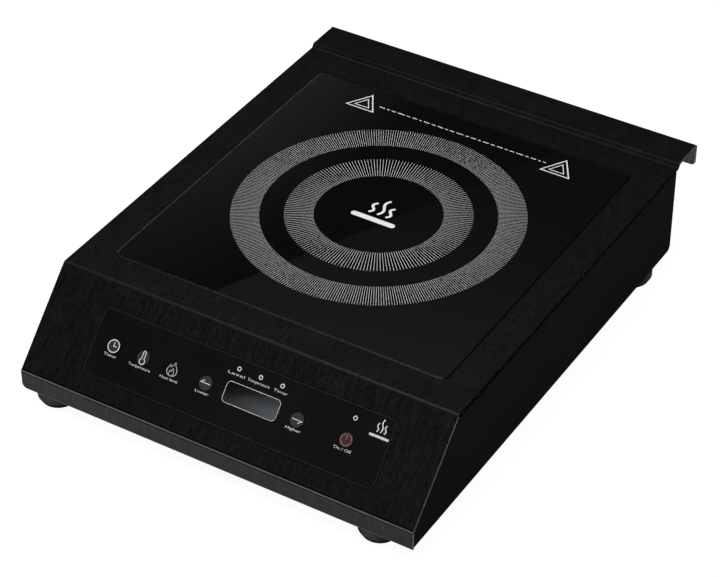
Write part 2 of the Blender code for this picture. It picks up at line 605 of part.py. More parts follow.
# ------------------------------------------------------------------ fan
fan_lo = Z_BASE + SHEET + GAP
h = FAN_SIZE / 2
fan_frame = link("fan_frame", prism(round_rect(FAN_X - h, FAN_Y - h, FAN_X + h, FAN_Y + h, 4.0, 3),
                                    [circle(FAN_X, FAN_Y, FAN_BORE, 40)], fan_lo,
                                    fan_lo + FAN_DEPTH), M_PLASTIC)
hub = cutter("fan_hub", cylinder(FAN_X, FAN_Y, fan_lo, fan_lo + 3.0, 15.0, 24))
boolean(fan_frame, hub, 'UNION')
for k in range(4):
    a = math.radians(45 + 90 * k)
    c, s = math.cos(a), math.sin(a)
    spoke = prism([(10 * c - 1.5 * s, 10 * s + 1.5 * c), (10 * c + 1.5 * s, 10 * s - 1.5 * c),
                   (40 * c + 1.5 * s, 40 * s - 1.5 * c), (40 * c - 1.5 * s, 40 * s + 1.5 * c)],
                  [], fan_lo + 0.2, fan_lo + 2.8)
    tool = cutter("fan_spoke_%d" % k, spoke, location=(FAN_X, FAN_Y, 0))
    boolean(fan_frame, tool, 'UNION')

rotor_lo = fan_lo + 3.6
rotor = link("fan_rotor", turned([(0.0, rotor_lo), (14.0, rotor_lo), (15.0, rotor_lo + 0.8),
                                  (15.0, rotor_lo + 17.0), (13.5, rotor_lo + 18.5),
                                  (0.0, rotor_lo + 18.5)], 28), M_PLASTIC,
             location=(FAN_X, FAN_Y, 0), smooth_deg=35)
for k in range(7):
    bm = bmesh.new()
    rings = []
    for r, pitch, chord in ((13.5, 52.0, 15.0), (25.0, 42.0, 19.0), (36.8, 33.0, 22.0)):
        ring = []
        for along, thick in ((-0.5, 0.0), (-0.15, 0.8), (0.5, 0.15), (0.5, -0.15), (-0.15, -0.4)):
            t = along * chord
            p = math.radians(pitch)
            # chord direction tilts from tangential to axial by the pitch
            tangential = t * math.cos(p) - thick * math.sin(p)
            axial = t * math.sin(p) + thick * math.cos(p)
            a = 2 * math.pi * k / 7 + tangential / r
            ring.append(bm.verts.new((r * math.cos(a), r * math.sin(a),
                                      rotor_lo + 9.2 + axial)))
        rings.append(ring)
    for ra, rb in zip(rings, rings[1:]):
        for i in range(5):
            j = (i + 1) % 5
            bm.faces.new((ra[i], ra[j], rb[j], rb[i]))
    bm.faces.new(rings[0][::-1])
    bm.faces.new(rings[-1])
    blade = cutter("fan_blade_%d" % k, bm, location=(FAN_X, FAN_Y, 0))
    boolean(rotor, blade, 'UNION')

# ------------------------------------------------------------------ ribbon cable
# Runs from the control board down to the power board.
ribbon_line = [(-180.0, 46.0), (-172.0, 30.0), (-150.0, 24.0), (-130.0, 24.0), (-112.0, 23.4)]
ribbon_line = fillet(ribbon_line, (10.0, 20.0, 20.0), n=4)
link("ribbon_cable", extrude_profile(ribbon_line + offset(ribbon_line, 0.9)[::-1], 40.0, 66.0),
     M_RIBBON)

bpy.context.view_layer.update()
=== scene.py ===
import math

import bmesh
import bpy
from mathutils import Matrix, Vector


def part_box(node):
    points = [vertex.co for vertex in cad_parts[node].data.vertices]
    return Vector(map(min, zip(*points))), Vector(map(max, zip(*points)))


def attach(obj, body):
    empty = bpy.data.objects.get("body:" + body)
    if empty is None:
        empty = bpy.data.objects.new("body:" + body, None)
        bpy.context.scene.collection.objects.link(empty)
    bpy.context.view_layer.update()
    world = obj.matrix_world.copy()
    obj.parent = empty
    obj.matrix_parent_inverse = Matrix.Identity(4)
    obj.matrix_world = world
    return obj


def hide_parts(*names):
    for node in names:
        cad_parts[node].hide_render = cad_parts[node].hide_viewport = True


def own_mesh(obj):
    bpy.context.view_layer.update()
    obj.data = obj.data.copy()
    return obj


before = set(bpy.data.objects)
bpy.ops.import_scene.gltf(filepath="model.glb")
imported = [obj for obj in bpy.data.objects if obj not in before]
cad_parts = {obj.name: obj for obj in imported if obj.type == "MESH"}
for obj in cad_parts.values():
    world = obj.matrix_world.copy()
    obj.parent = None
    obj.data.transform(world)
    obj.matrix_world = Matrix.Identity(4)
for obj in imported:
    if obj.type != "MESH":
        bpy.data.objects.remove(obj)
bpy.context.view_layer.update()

MM = 0.001
SCENE = bpy.context.scene


# ---------------------------------------------------------------- places
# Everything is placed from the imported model, in millimetres.
def node_box(node):
    lo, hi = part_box(node)
    return lo / MM, hi / MM


cover_lo, cover_hi = node_box("top_cover")
glass_lo, glass_hi = node_box("glass_plate")
base_lo, base_hi = node_box("base_plate")
side_lo, side_hi = node_box("side_panel_right")
rear_lo, rear_hi = node_box("rear_panel")
gland_lo, gland_hi = node_box("cable_gland")
over_lo, over_hi = node_box("control_overlay")

HALF_W = cover_hi.x                     # 167
Y_LIP, Y_REAR = cover_lo.y, cover_hi.y  # -217.5, 217.5
Z_BASE, Z_LEDGE = cover_lo.z, cover_hi.z
Z_TOP = glass_hi.z
SHEET = 1.0
Z_BEND, Y_EDGE = Z_BASE + 15.7, Y_LIP + 60.4
Y_STEP0, Y_STEP1, Z_FLANGE = Y_REAR - 33.3, Y_REAR - 31.1, Z_LEDGE - 19.7
GLASS_HX = glass_hi.x
GLASS_Y = (glass_lo.y + glass_hi.y) / 2
GLASS_HY = (glass_hi.y - glass_lo.y) / 2
GLASS_R = 6.0
PANEL_RUN, PANEL_RISE = Y_EDGE - Y_LIP, Z_TOP - Z_BEND
PANEL_LEN = math.hypot(PANEL_RUN, PANEL_RISE)
PANEL_ANGLE = math.atan2(PANEL_RISE, PANEL_RUN)
# X across, Y up the slope from the lip bend, Z out of the slope's face
PANEL = Matrix.Translation((0.0, Y_LIP, Z_BEND)) @ Matrix.Rotation(PANEL_ANGLE, 4, 'X')
PANEL_INV = PANEL.inverted()
OVERLAY_X0, OVERLAY_X1 = over_lo.x, over_hi.x
OVERLAY_S0, OVERLAY_S1 = 16.2, 67.5
N_FACE = 0.7                            # outer face of the overlay
KEY_S, KEY_R, KEY_TOP = 42.0, 5.8, 0.80


def node_panel_centre(node):
    lo, hi = node_box(node)
    return PANEL_INV @ ((lo + hi) / 2)


KEYS = {n: node_panel_centre(n).x for n in ("key_timer", "key_temperature", "key_level",
                                            "key_less", "key_more", "key_power")}
LAMPS = {n: node_panel_centre(n) for n in ("lamp_level", "lamp_temperature", "lamp_timer",
                                           "lamp_power")}
DISPLAY = (-4.9, 35.1, 38.7, 49.7, 2.7)  # x0, s0, x1, s1, corner radius


# ---------------------------------------------------------------- mesh helpers
def arc(cx, cy, r, a0, a1, n):
    return [(cx + r * math.cos(math.radians(a0 + (a1 - a0) * i / n)),
             cy + r * math.sin(math.radians(a0 + (a1 - a0) * i / n))) for i in range(n + 1)]


def circle(cx, cy, r, n=64):
    return arc(cx, cy, r, 0, 360, n)[:-1]


def round_rect(x0, y0, x1, y1, r, n=12):
    if r <= 0:
        return [(x0, y0), (x1, y0), (x1, y1), (x0, y1)]
    return (arc(x1 - r, y0 + r, r, -90, 0, n) + arc(x1 - r, y1 - r, r, 0, 90, n)
            + arc(x0 + r, y1 - r, r, 90, 180, n) + arc(x0 + r, y0 + r, r, 180, 270, n))


def slot_outline(cx, cy, length, width, angle=0.0, n=10):
    h = (length - width) / 2
    pts = arc(h, 0, width / 2, -90, 90, n) + arc(-h, 0, width / 2, 90, 270, n)
    c, s = math.cos(math.radians(angle)), math.sin(math.radians(angle))
    return [(cx + x * c - y * s, cy + x * s + y * c) for x, y in pts]


def fillet(points, radii, n):
    """Open polyline, each inner corner rounded, with a short guard run on both
    sides of every bend so that flat faces stay flat when shaded smooth."""
    out = [Vector(points[0])]
    for i in range(1, len(points) - 1):
        p, a, b = Vector(points[i]), Vector(points[i - 1]), Vector(points[i + 1])
        r = radii[i - 1]
        u, v = (a - p).normalized(), (b - p).normalized()
        half = math.acos(max(-1, min(1, u.dot(v)))) / 2
        centre = p + (u + v).normalized() * (r / math.sin(half))
        t0, t1 = p + u * (r / math.tan(half)), p + v * (r / math.tan(half))
        d0, d1 = t0 - centre, t1 - centre
        a0, a1 = math.atan2(d0.y, d0.x), math.atan2(d1.y, d1.x)
        turn = (a1 - a0 + math.pi) % (2 * math.pi) - math.pi
        out.append(t0 + u * 0.12)
        out += [Vector((centre.x + r * math.cos(a0 + turn * k / n),
                        centre.y + r * math.sin(a0 + turn * k / n))) for k in range(n + 1)]
        out.append(t1 + v * 0.12)
    out.append(Vector(points[-1]))
    return out


def offset(points, d, closed=False):
    """Polyline moved by d to its right hand side."""
    pts = [Vector(p) for p in points]
    m = len(pts)
    out = []
    for i, p in enumerate(pts):
        dirs = []
        if i > 0 or closed:
            dirs.append((p - pts[i - 1]).normalized())
        if i < m - 1 or closed:
            dirs.append((pts[(i + 1) % m] - p).normalized())
        normals = [Vector((v.y, -v.x)) for v in dirs]
        s = Vector((0, 0))
        for nrm in normals:
            s += nrm
        s.normalize()
        out.append(p + s * (d / max(0.3, s.dot(normals[0]))))
    return out


def prism(bm, outline, holes, z0, z1, to3d=None):
    """Closed plate with holes added to bm."""
    start = len(bm.verts)
    part = bmesh.new()
    edges = []
    for loop in [outline] + list(holes):
        verts = [part.verts.new((p[0], p[1], 0.0)) for p in loop]
        edges += [part.edges.new((verts[i], verts[(i + 1) % len(verts)]))
                  for i in range(len(verts))]
    bmesh.ops.triangle_fill(part, use_beauty=True, use_dissolve=False, edges=edges,
                            normal=(0, 0, 1))
    bmesh.ops.recalc_face_normals(part, faces=part.faces)
    result = bmesh.ops.extrude_face_region(part, geom=list(part.faces))
    top = {g for g in result['geom'] if isinstance(g, bmesh.types.BMVert)}
    for v in part.verts:
        v.co.z = z1 if v in top else z0
    bmesh.ops.recalc_face_normals(part, faces=part.faces)
    index = {v: bm.verts.new(to3d(v.co) if to3d else v.co) for v in part.verts}
    for f in part.faces:
        bm.faces.new([index[v] for v in f.verts])
    part.free()
    return start


def loft(bm, loops, cap=True, closed=False):
    """Quads between stacked loops of equal length."""
    rings = [[bm.verts.new(p) for p in loop] for loop in loops]
    count = len(rings[0])
    pairs = list(zip(rings, rings[1:]))
    if closed:
        pairs.append((rings[-1], rings[0]))
    for a, b in pairs:
        for i in range(count):
            j = (i + 1) % count
            bm.faces.new((a[i], a[j], b[j], b[i]))
    if cap and not closed:
        bm.faces.new(rings[0][::-1])
        bm.faces.new(rings[-1])
    return rings


def turned(bm, profile, n=64, closed=False, cx=0.0, cy=0.0, place=None):
    """(radius, z) profile spun about the Z axis; place moves it into the frame."""
    def at(r, z, i):
        p = Vector((cx + r * math.cos(2 * math.pi * i / n), cy + r * math.sin(2 * math.pi * i / n), z))
        return place @ p if place else p
    rings = []
    for r, z in profile:
        rings.append([bm.verts.new(at(r, z, i)) for i in range(n if r > 1e-6 else 1)])
    pairs = list(zip(rings, rings[1:]))
    if closed:
        pairs.append((rings[-1], rings[0]))
    for a, b in pairs:
        for i in range(n):
            j = (i + 1) % n
            if len(a) == 1 and len(b) == 1:
                break
            if len(a) == 1:
                bm.faces.new((a[0], b[i], b[j]))
            elif len(b) == 1:
                bm.faces.new((a[i], a[j], b[0]))
            else:
                bm.faces.new((a[i], a[j], b[j], b[i]))


def round_profile(points, radii, n=5):
    """Turned profile with rounded corners; radii has one entry per inner point."""
    out = [Vector(points[0])]
    for i in range(1, len(points) - 1):
        p, a, b = Vector(points[i]), Vector(points[i - 1]), Vector(points[i + 1])
        r = radii[i - 1]
        if r <= 0:
            out.append(p)
            continue
        u, v = (a - p).normalized(), (b - p).normalized()
        half = math.acos(max(-1, min(1, u.dot(v)))) / 2
        centre = p + (u + v).normalized() * (r / math.sin(half))
        t0, t1 = p + u * (r / math.tan(half)), p + v * (r / math.tan(half))
        d0, d1 = t0 - centre, t1 - centre
        a0, a1 = math.atan2(d0.y, d0.x), math.atan2(d1.y, d1.x)
        turn = (a1 - a0 + math.pi) % (2 * math.pi) - math.pi
        out += [Vector((centre.x + r * math.cos(a0 + turn * k / n),
                        centre.y + r * math.sin(a0 + turn * k / n))) for k in range(n + 1)]
    out.append(Vector(points[-1]))
    return [tuple(p) for p in out]


def to_object(name, bm, mats, smooth_deg=30.0):
    """bm in millimetres -> object in metres."""
    bmesh.ops.remove_doubles(bm, verts=bm.verts, dist=1e-4)
    bmesh.ops.scale(bm, vec=(MM, MM, MM), verts=bm.verts)
    bmesh.ops.recalc_face_normals(bm, faces=bm.faces)
    mesh = bpy.data.meshes.new(name)
    bm.to_mesh(mesh)
    bm.free()
    obj = bpy.data.objects.new(name, mesh)
    SCENE.collection.objects.link(obj)
    for m in (mats if isinstance(mats, (list, tuple)) else [mats]):
        if m is not None:
            mesh.materials.append(m)
    mesh.shade_smooth()
    mesh.set_sharp_from_angle(angle=math.radians(smooth_deg))
    return obj


def cut(obj, bm, solver='EXACT', smooth_deg=30.0):
    """Take the closed shapes in bm (millimetres) out of obj, for good."""
    tool = to_object(obj.name + "_tool", bm, None)
    mod = obj.modifiers.new("cut", 'BOOLEAN')
    mod.operation = 'DIFFERENCE'
    mod.solver = solver
    mod.object = tool
    apply_modifiers(obj)
    tool_mesh = tool.data
    bpy.data.objects.remove(tool, do_unlink=True)
    bpy.data.meshes.remove(tool_mesh)
    obj.data.shade_smooth()
    obj.data.set_sharp_from_angle(angle=math.radians(smooth_deg))


def apply_modifiers(obj):
    dg = bpy.context.evaluated_depsgraph_get()
    dg.update()
    mesh = bpy.data.meshes.new_from_object(obj.evaluated_get(dg))
    old = obj.data
    obj.modifiers.clear()
    obj.data = mesh
    mesh.name = obj.name
    bpy.data.meshes.remove(old)


# ---------------------------------------------------------------- node helpers
class Nodes:
    """A material's node tree, built with short calls."""

    def __init__(self, name):
        self.mat = bpy.data.materials.new("look_" + name)
        self.mat.use_nodes = True
        self.tree = self.mat.node_tree
        self.bsdf = self.tree.nodes["Principled BSDF"]

    def set(self, **values):
        names = {"rough": "Roughness", "metal": "Metallic", "spec": "Specular IOR Level",
                 "ior": "IOR", "coat": "Coat Weight", "coat_rough": "Coat Roughness",
                 "aniso": "Anisotropic", "sheen": "Sheen Weight", "alpha": "Alpha",
                 "transmission": "Transmission Weight"}
        for k, v in values.items():
            self.bsdf.inputs[names[k]].default_value = v
        return self

    def node(self, kind, **props):
        n = self.tree.nodes.new(kind)
        for k, v in props.items():
            setattr(n, k, v)
        return n

    def link(self, a, b):
        self.tree.links.new(a, b)

    def coords(self, scale=(1, 1, 1), rotation=(0, 0, 0), offset=(0, 0, 0)):
        c = self.node("ShaderNodeTexCoord")
        m = self.node("ShaderNodeMapping")
        m.inputs["Scale"].default_value = scale
        m.inputs["Rotation"].default_value = rotation
        m.inputs["Location"].default_value = offset
        self.link(c.outputs["Object"], m.inputs["Vector"])
        return m.outputs["Vector"]

    def noise(self, vector, scale=1.0, detail=2.0, rough=0.5, distortion=0.0):
        n = self.node("ShaderNodeTexNoise")
        n.inputs["Scale"].default_value = scale
        n.inputs["Detail"].default_value = detail
        n.inputs["Roughness"].default_value = rough
        n.inputs["Distortion"].default_value = distortion
        self.link(vector, n.inputs["Vector"])
        return n.outputs["Fac"]

    def voronoi(self, vector, scale=1.0, feature='F1', out="Distance"):
        n = self.node("ShaderNodeTexVoronoi", feature=feature)
        n.inputs["Scale"].default_value = scale
        self.link(vector, n.inputs["Vector"])
        return n.outputs[out]

    def ramp(self, fac, stops, interpolation='LINEAR'):
        n = self.node("ShaderNodeValToRGB")
        n.color_ramp.interpolation = interpolation
        el = n.color_ramp.elements
        while len(el) < len(stops):
            el.new(0.5)
        for e, (pos, col) in zip(el, stops):
            e.position = pos
            e.color = (*col, 1.0) if len(col) == 3 else col
        self.link(fac, n.inputs["Fac"])
        return n.outputs["Color"]

    def remap(self, value, a, b, c, d, clamp=True):
        n = self.node("ShaderNodeMapRange", clamp=clamp)
        for i, v in zip(range(1, 5), (a, b, c, d)):
            n.inputs[i].default_value = v
        self.link(value, n.inputs[0])
        return n.outputs[0]

    def math(self, op, a, b=None):
        n = self.node("ShaderNodeMath", operation=op)
        for i, v in enumerate((a, b)):
            if v is None:
                continue
            if isinstance(v, (int, float)):
                n.inputs[i].default_value = v
            else:
                self.link(v, n.inputs[i])
        return n.outputs[0]

    def mix(self, fac, a, b):
        n = self.node("ShaderNodeMix", data_type='RGBA')
        for sock, v in ((n.inputs[0], fac), (n.inputs[6], a), (n.inputs[7], b)):
            if isinstance(v, (int, float)):
                sock.default_value = v
            elif isinstance(v, (tuple, list)):
                sock.default_value = (*v, 1.0)
            else:
                self.link(v, sock)
        return n.outputs[2]

    def bump(self, height, strength, distance, normal=None):
        n = self.node("ShaderNodeBump")
        n.inputs["Strength"].default_value = strength
        n.inputs["Distance"].default_value = distance
        self.link(height, n.inputs["Height"])
        if normal is not None:
            self.link(normal, n.inputs["Normal"])
        return n.outputs["Normal"]

    def colour(self, socket):
        self.link(socket, self.bsdf.inputs["Base Color"])
        return self

    def rough(self, socket):
        self.link(socket, self.bsdf.inputs["Roughness"])
        return self

    def normal(self, socket):
        self.link(socket, self.bsdf.inputs["Normal"])
        return self


# ---------------------------------------------------------------- materials
def brushed_black():
    """Black finish over brushed sheet: short fine grain that runs front to back
    and up the slope, over a faint cloudy variation in tone and gloss."""
    m = Nodes("black_brushed_steel").set(metal=0.0)
    fine = m.noise(m.coords((1500, 270, 270)), 1.0, 1.5, 0.55)
    long = m.noise(m.coords((720, 60, 60), offset=(3.1, 0.4, 1.7)), 1.0, 2.0, 0.5)
    cloud = m.noise(m.coords((22, 22, 22)), 1.0, 4.0, 0.6)
    streak = m.math('ADD', m.math('MULTIPLY', fine, 0.6), m.math('MULTIPLY', long, 0.4))
    tone = m.math('ADD', m.math('MULTIPLY', streak, 0.86), m.math('MULTIPLY', cloud, 0.14))
    c = m.node("ShaderNodeTexCoord")
    pos = m.node("ShaderNodeSeparateXYZ")
    m.link(c.outputs["Object"], pos.inputs[0])
    front = m.remap(pos.outputs["Z"], (Z_TOP - 0.6) * MM, (Z_TOP - 3.0) * MM, 0.0, 1.0)
    flat = m.ramp(tone, [(0.38, (0.0014, 0.0014, 0.0014)), (0.5, (0.0034, 0.0034, 0.0034)),
                         (0.62, (0.0072, 0.0072, 0.0073))])
    steep = m.ramp(tone, [(0.40, (0.0014, 0.0014, 0.0014)), (0.5, (0.0035, 0.0035, 0.0035)),
                          (0.60, (0.0076, 0.0076, 0.0077))])
    m.colour(m.mix(front, flat, steep))
    m.link(m.math('ADD', m.math('MULTIPLY', front, m.remap(streak, 0.38, 0.62, -0.02, 0.02)), 0.10),
           m.bsdf.inputs["Specular IOR Level"])
    m.rough(m.math('ADD', m.remap(streak, 0.3, 0.7, 0.36, 0.44), m.remap(cloud, 0.3, 0.7, -0.03, 0.03)))
    m.normal(m.bump(streak, 0.35, 0.00006))
    return m.mat


def wear_and_highlight_edge():
    """Folds and cut edges, where the black is rubbed and the steel shows as a thin paler line, made brighter by a
    painted highlight."""
    m = Nodes("wear_and_highlight_edge").set(metal=0.0, spec=0.3)
    line_mottle = m.noise(m.coords((420, 420, 420)), 1.0, 3.0, 0.6)
    m.colour(m.ramp(line_mottle, [(0.3, (0.065, 0.065, 0.065)), (0.7, (0.115, 0.115, 0.114))]))
    m.rough(m.remap(line_mottle, 0.3, 0.7, 0.35, 0.5))
    return m.mat


def bare_end_and_highlight():
    """Sheared end of the lip, bare steel made bright by a painted highlight."""
    m = Nodes("bare_end_and_highlight").set(metal=0.0, spec=0.4)
    line_mottle = m.noise(m.coords((500, 500, 500)), 1.0, 3.0, 0.6)
    m.colour(m.ramp(line_mottle, [(0.3, (0.16, 0.16, 0.16)), (0.7, (0.26, 0.26, 0.26))]))
    m.rough(m.remap(line_mottle, 0.3, 0.7, 0.35, 0.5))
    return m.mat


def fold_highlight_paint():
    """Gentle folds of the cover: a painted highlight, a little paler than the sheet."""
    m = Nodes("fold_highlight_paint").set(metal=0.0, spec=0.12)
    line_mottle = m.noise(m.coords((300, 300, 300)), 1.0, 3.0, 0.6)
    pale = m.ramp(line_mottle, [(0.3, (0.008, 0.008, 0.008)), (0.7, (0.015, 0.015, 0.015))])
    plain = m.ramp(line_mottle, [(0.3, (0.0025, 0.0025, 0.0025)), (0.7, (0.0045, 0.0045, 0.0045))])
    c = m.node("ShaderNodeTexCoord")
    pos = m.node("ShaderNodeSeparateXYZ")
    m.link(c.outputs["Object"], pos.inputs[0])
    # painted highlight on the rear step, fading out towards its right end
    fade = m.math('MULTIPLY', m.remap(pos.outputs["Y"], 0.05, 0.06, 0.0, 1.0),
                  m.remap(pos.outputs["X"], 0.0, 0.13, 0.0, 0.9))
    m.colour(m.mix(fade, pale, plain))
    m.rough(m.remap(line_mottle, 0.3, 0.7, 0.35, 0.45))
    return m.mat


def inner_reflection_paint():
    """Inner side of the cover sheet, pale grey: a painted reflection of the bright floor it faces."""
    m = Nodes("inner_reflection_paint").set(metal=0.0, spec=0.4)
    g_ = m.noise(m.coords((900, 60, 60)), 1.0, 3.0, 0.6)
    m.colour(m.ramp(g_, [(0.35, (0.28, 0.28, 0.283)), (0.65, (0.70, 0.70, 0.705))]))
    m.rough(m.remap(g_, 0.3, 0.7, 0.35, 0.5))
    return m.mat


def painted_shade_black():
    """Narrow gaps, grooves and dark lines: painted shade, matt black."""
    m = Nodes("painted_shade_black").set(metal=0.0, spec=0.0)
    n = m.noise(m.coords((500, 500, 500)), 1.0, 2.0, 0.5)
    m.colour(m.ramp(n, [(0.3, (0.0003, 0.0003, 0.0003)), (0.7, (0.0008, 0.0008, 0.0008))]))
    m.rough(m.remap(n, 0.3, 0.7, 0.8, 0.95))
    return m.mat


def coated_black():
    """Fine satin coating on the folded steel of the box."""
    m = Nodes("black_coated_steel").set(metal=0.0, spec=0.12)
    grain = m.noise(m.coords((2300, 2300, 2300)), 1.0, 2.0, 0.5)
    cloud = m.noise(m.coords((11, 11, 11)), 1.0, 4.0, 0.55)
    brush = m.noise(m.coords((60, 60, 1500)), 1.0, 2.0, 0.5)
    mixed = m.math('ADD', m.math('MULTIPLY', cloud, 0.6), m.math('MULTIPLY', brush, 0.4))
    m.colour(m.ramp(mixed, [(0.3, (0.0105, 0.0105, 0.0108)), (0.7, (0.0185, 0.0185, 0.0190))]))
    m.rough(m.remap(grain, 0.3, 0.7, 0.40, 0.52))
    m.normal(m.bump(grain, 0.25, 0.00005))
    return m.mat


def glass_black():
    """Polished glass-ceramic: deep black with a barely visible ripple and a few
    wiped marks in the gloss."""
    m = Nodes("black_glass_ceramic").set(metal=0.0, spec=0.5, ior=1.5)
    smear = m.noise(m.coords((26, 7, 10), rotation=(0, 0, 0.5)), 1.0, 4.0, 0.6, 0.4)
    speck = m.noise(m.coords((900, 900, 900)), 1.0, 1.0, 0.5)
    m.colour(m.ramp(speck, [(0.3, (0.0003, 0.0003, 0.0004)), (0.7, (0.0009, 0.0009, 0.0010))]))
    m.rough(m.remap(smear, 0.35, 0.75, 0.006, 0.024))
    ripple = m.noise(m.coords((9, 9, 9)), 1.0, 1.0, 0.5)
    m.normal(m.bump(ripple, 0.012, 0.0004))
    return m.mat


def sealant():
    """Silicone bead, paler at the front and left as a painted highlight."""
    m = Nodes("grey_sealant").set(metal=0.0, spec=0.06)
    blot = m.noise(m.coords((240, 240, 240)), 1.0, 3.0, 0.6)
    c = m.node("ShaderNodeTexCoord")
    s = m.node("ShaderNodeSeparateXYZ")
    m.link(c.outputs["Object"], s.inputs[0])
    # painted highlight on the left and front sides of the bead
    left = m.remap(s.outputs["X"], -0.1385, -0.1395, 0.0, 1.0)
    front = m.remap(s.outputs["Y"], -0.1288, -0.1298, 0.0, 0.35)
    pale = m.math('MAXIMUM', left, front)
    dark = m.ramp(blot, [(0.35, (0.0022, 0.0022, 0.0022)), (0.7, (0.0040, 0.0040, 0.0040))])
    light = m.ramp(blot, [(0.35, (0.055, 0.055, 0.055)), (0.7, (0.085, 0.085, 0.085))])
    m.colour(m.mix(pale, dark, light))
    m.rough(m.remap(blot, 0.3, 0.7, 0.45, 0.6))
    m.normal(m.bump(blot, 0.2, 0.00008))
    return m.mat


def overlay_film(name="black_overlay", low=0.0024, high=0.0038):
    """Printed polyester film with a very fine matt emboss."""
    m = Nodes(name).set(metal=0.0, spec=0.09)
    emboss = m.noise(m.coords((3200, 3200, 3200)), 1.0, 1.0, 0.5)
    cloud = m.noise(m.coords((16, 16, 16)), 1.0, 3.0, 0.5)
    m.colour(m.ramp(cloud, [(0.3, (low, low, low)), (0.7, (high, high, high * 1.05))]))
    m.rough(m.remap(cloud, 0.3, 0.7, 0.32, 0.40))
    m.normal(m.bump(emboss, 0.12, 0.00003))
    return m.mat


def print_ink(name, low, high, rough=0.5):
    """Screen-printed ink: slightly uneven coverage."""
    m = Nodes(name).set(metal=0.0, spec=0.3)
    grain = m.noise(m.coords((2600, 2600, 2600)), 1.0, 2.0, 0.6)
    m.colour(m.ramp(grain, [(0.3, low), (0.7, high)]))
    m.rough(m.remap(grain, 0.3, 0.7, rough - 0.06, rough + 0.06))
    return m.mat


def simple(name, stops, rough, metal=0.0, spec=0.5, scale=(300, 300, 300), detail=3.0,
           bump=0.15, distance=0.0001, **more):
    """Noise-driven colour, gloss and bump for the inner parts."""
    m = Nodes(name).set(metal=metal, spec=spec, **more)
    n = m.noise(m.coords(scale), 1.0, detail, 0.55)
    lo, hi = stops
    m.colour(m.ramp(n, [(0.32, lo), (0.68, hi)]))
    m.rough(m.remap(n, 0.3, 0.7, rough[0], rough[1]))
    if bump:
        m.normal(m.bump(n, bump, distance))
    return m.mat


def window_mat():
    """Smoked display window with a painted reflection: a soft grey fade from its upper left corner."""
    m = Nodes("smoked_window").set(metal=0.0, spec=0.22)
    c = m.node("ShaderNodeTexCoord")
    s = m.node("ShaderNodeSeparateXYZ")
    m.link(c.outputs["Object"], s.inputs[0])
    # painted reflection: fade across the window and down the slope, in metres of the frame
    x = m.remap(s.outputs["X"], -0.0049, 0.0387, 0.0, 1.0)
    z = m.remap(s.outputs["Z"], 0.0277 + 0.0497 * math.sin(PANEL_ANGLE),
                0.0277 + 0.0351 * math.sin(PANEL_ANGLE), 0.0, 1.0)
    t = m.math('ADD', m.math('MULTIPLY', x, 0.55), m.math('MULTIPLY', z, 0.45))
    fine = m.noise(m.coords((900, 900, 900)), 1.0, 2.0, 0.5)
    t = m.math('ADD', t, m.remap(fine, 0.3, 0.7, -0.015, 0.015))
    m.colour(m.ramp(t, [(0.0, (0.003, 0.003, 0.003)), (0.28, (0.009, 0.009, 0.0095)),
                        (0.55, (0.039, 0.042, 0.044)), (1.0, (0.108, 0.122, 0.131))]))
    m.rough(m.remap(fine, 0.3, 0.7, 0.16, 0.24))
    return m.mat


def rubber():
    m = Nodes("foot_rubber").set(metal=0.0, spec=0.12)
    grain = m.noise(m.coords((900, 900, 900)), 1.0, 3.0, 0.6)
    dust = m.noise(m.coords((70, 70, 70)), 1.0, 4.0, 0.6)
    c = m.node("ShaderNodeTexCoord")
    s = m.node("ShaderNodeSeparateXYZ")
    m.link(c.outputs["Object"], s.inputs[0])
    body = m.ramp(dust, [(0.3, (0.062, 0.051, 0.048)), (0.7, (0.110, 0.092, 0.087))])
    foot = m.ramp(dust, [(0.3, (0.0015, 0.0014, 0.0013)), (0.7, (0.0030, 0.0028, 0.0027))])
    m.colour(m.mix(m.remap(s.outputs["Z"], 0.0018, 0.0034, 0.0, 1.0), foot, body))
    m.rough(m.remap(grain, 0.3, 0.7, 0.55, 0.75))
    m.normal(m.bump(grain, 0.3, 0.00012))
    return m.mat


def lens():
    m = Nodes("lamp_lens").set(metal=0.0, spec=0.5)
    n = m.noise(m.coords((800, 800, 800)), 1.0, 1.0, 0.5)
    m.colour(m.ramp(n, [(0.3, (0.010, 0.006, 0.006)), (0.7, (0.020, 0.010, 0.010))]))
    m.rough(m.remap(n, 0.3, 0.7, 0.12, 0.2))
    return m.mat


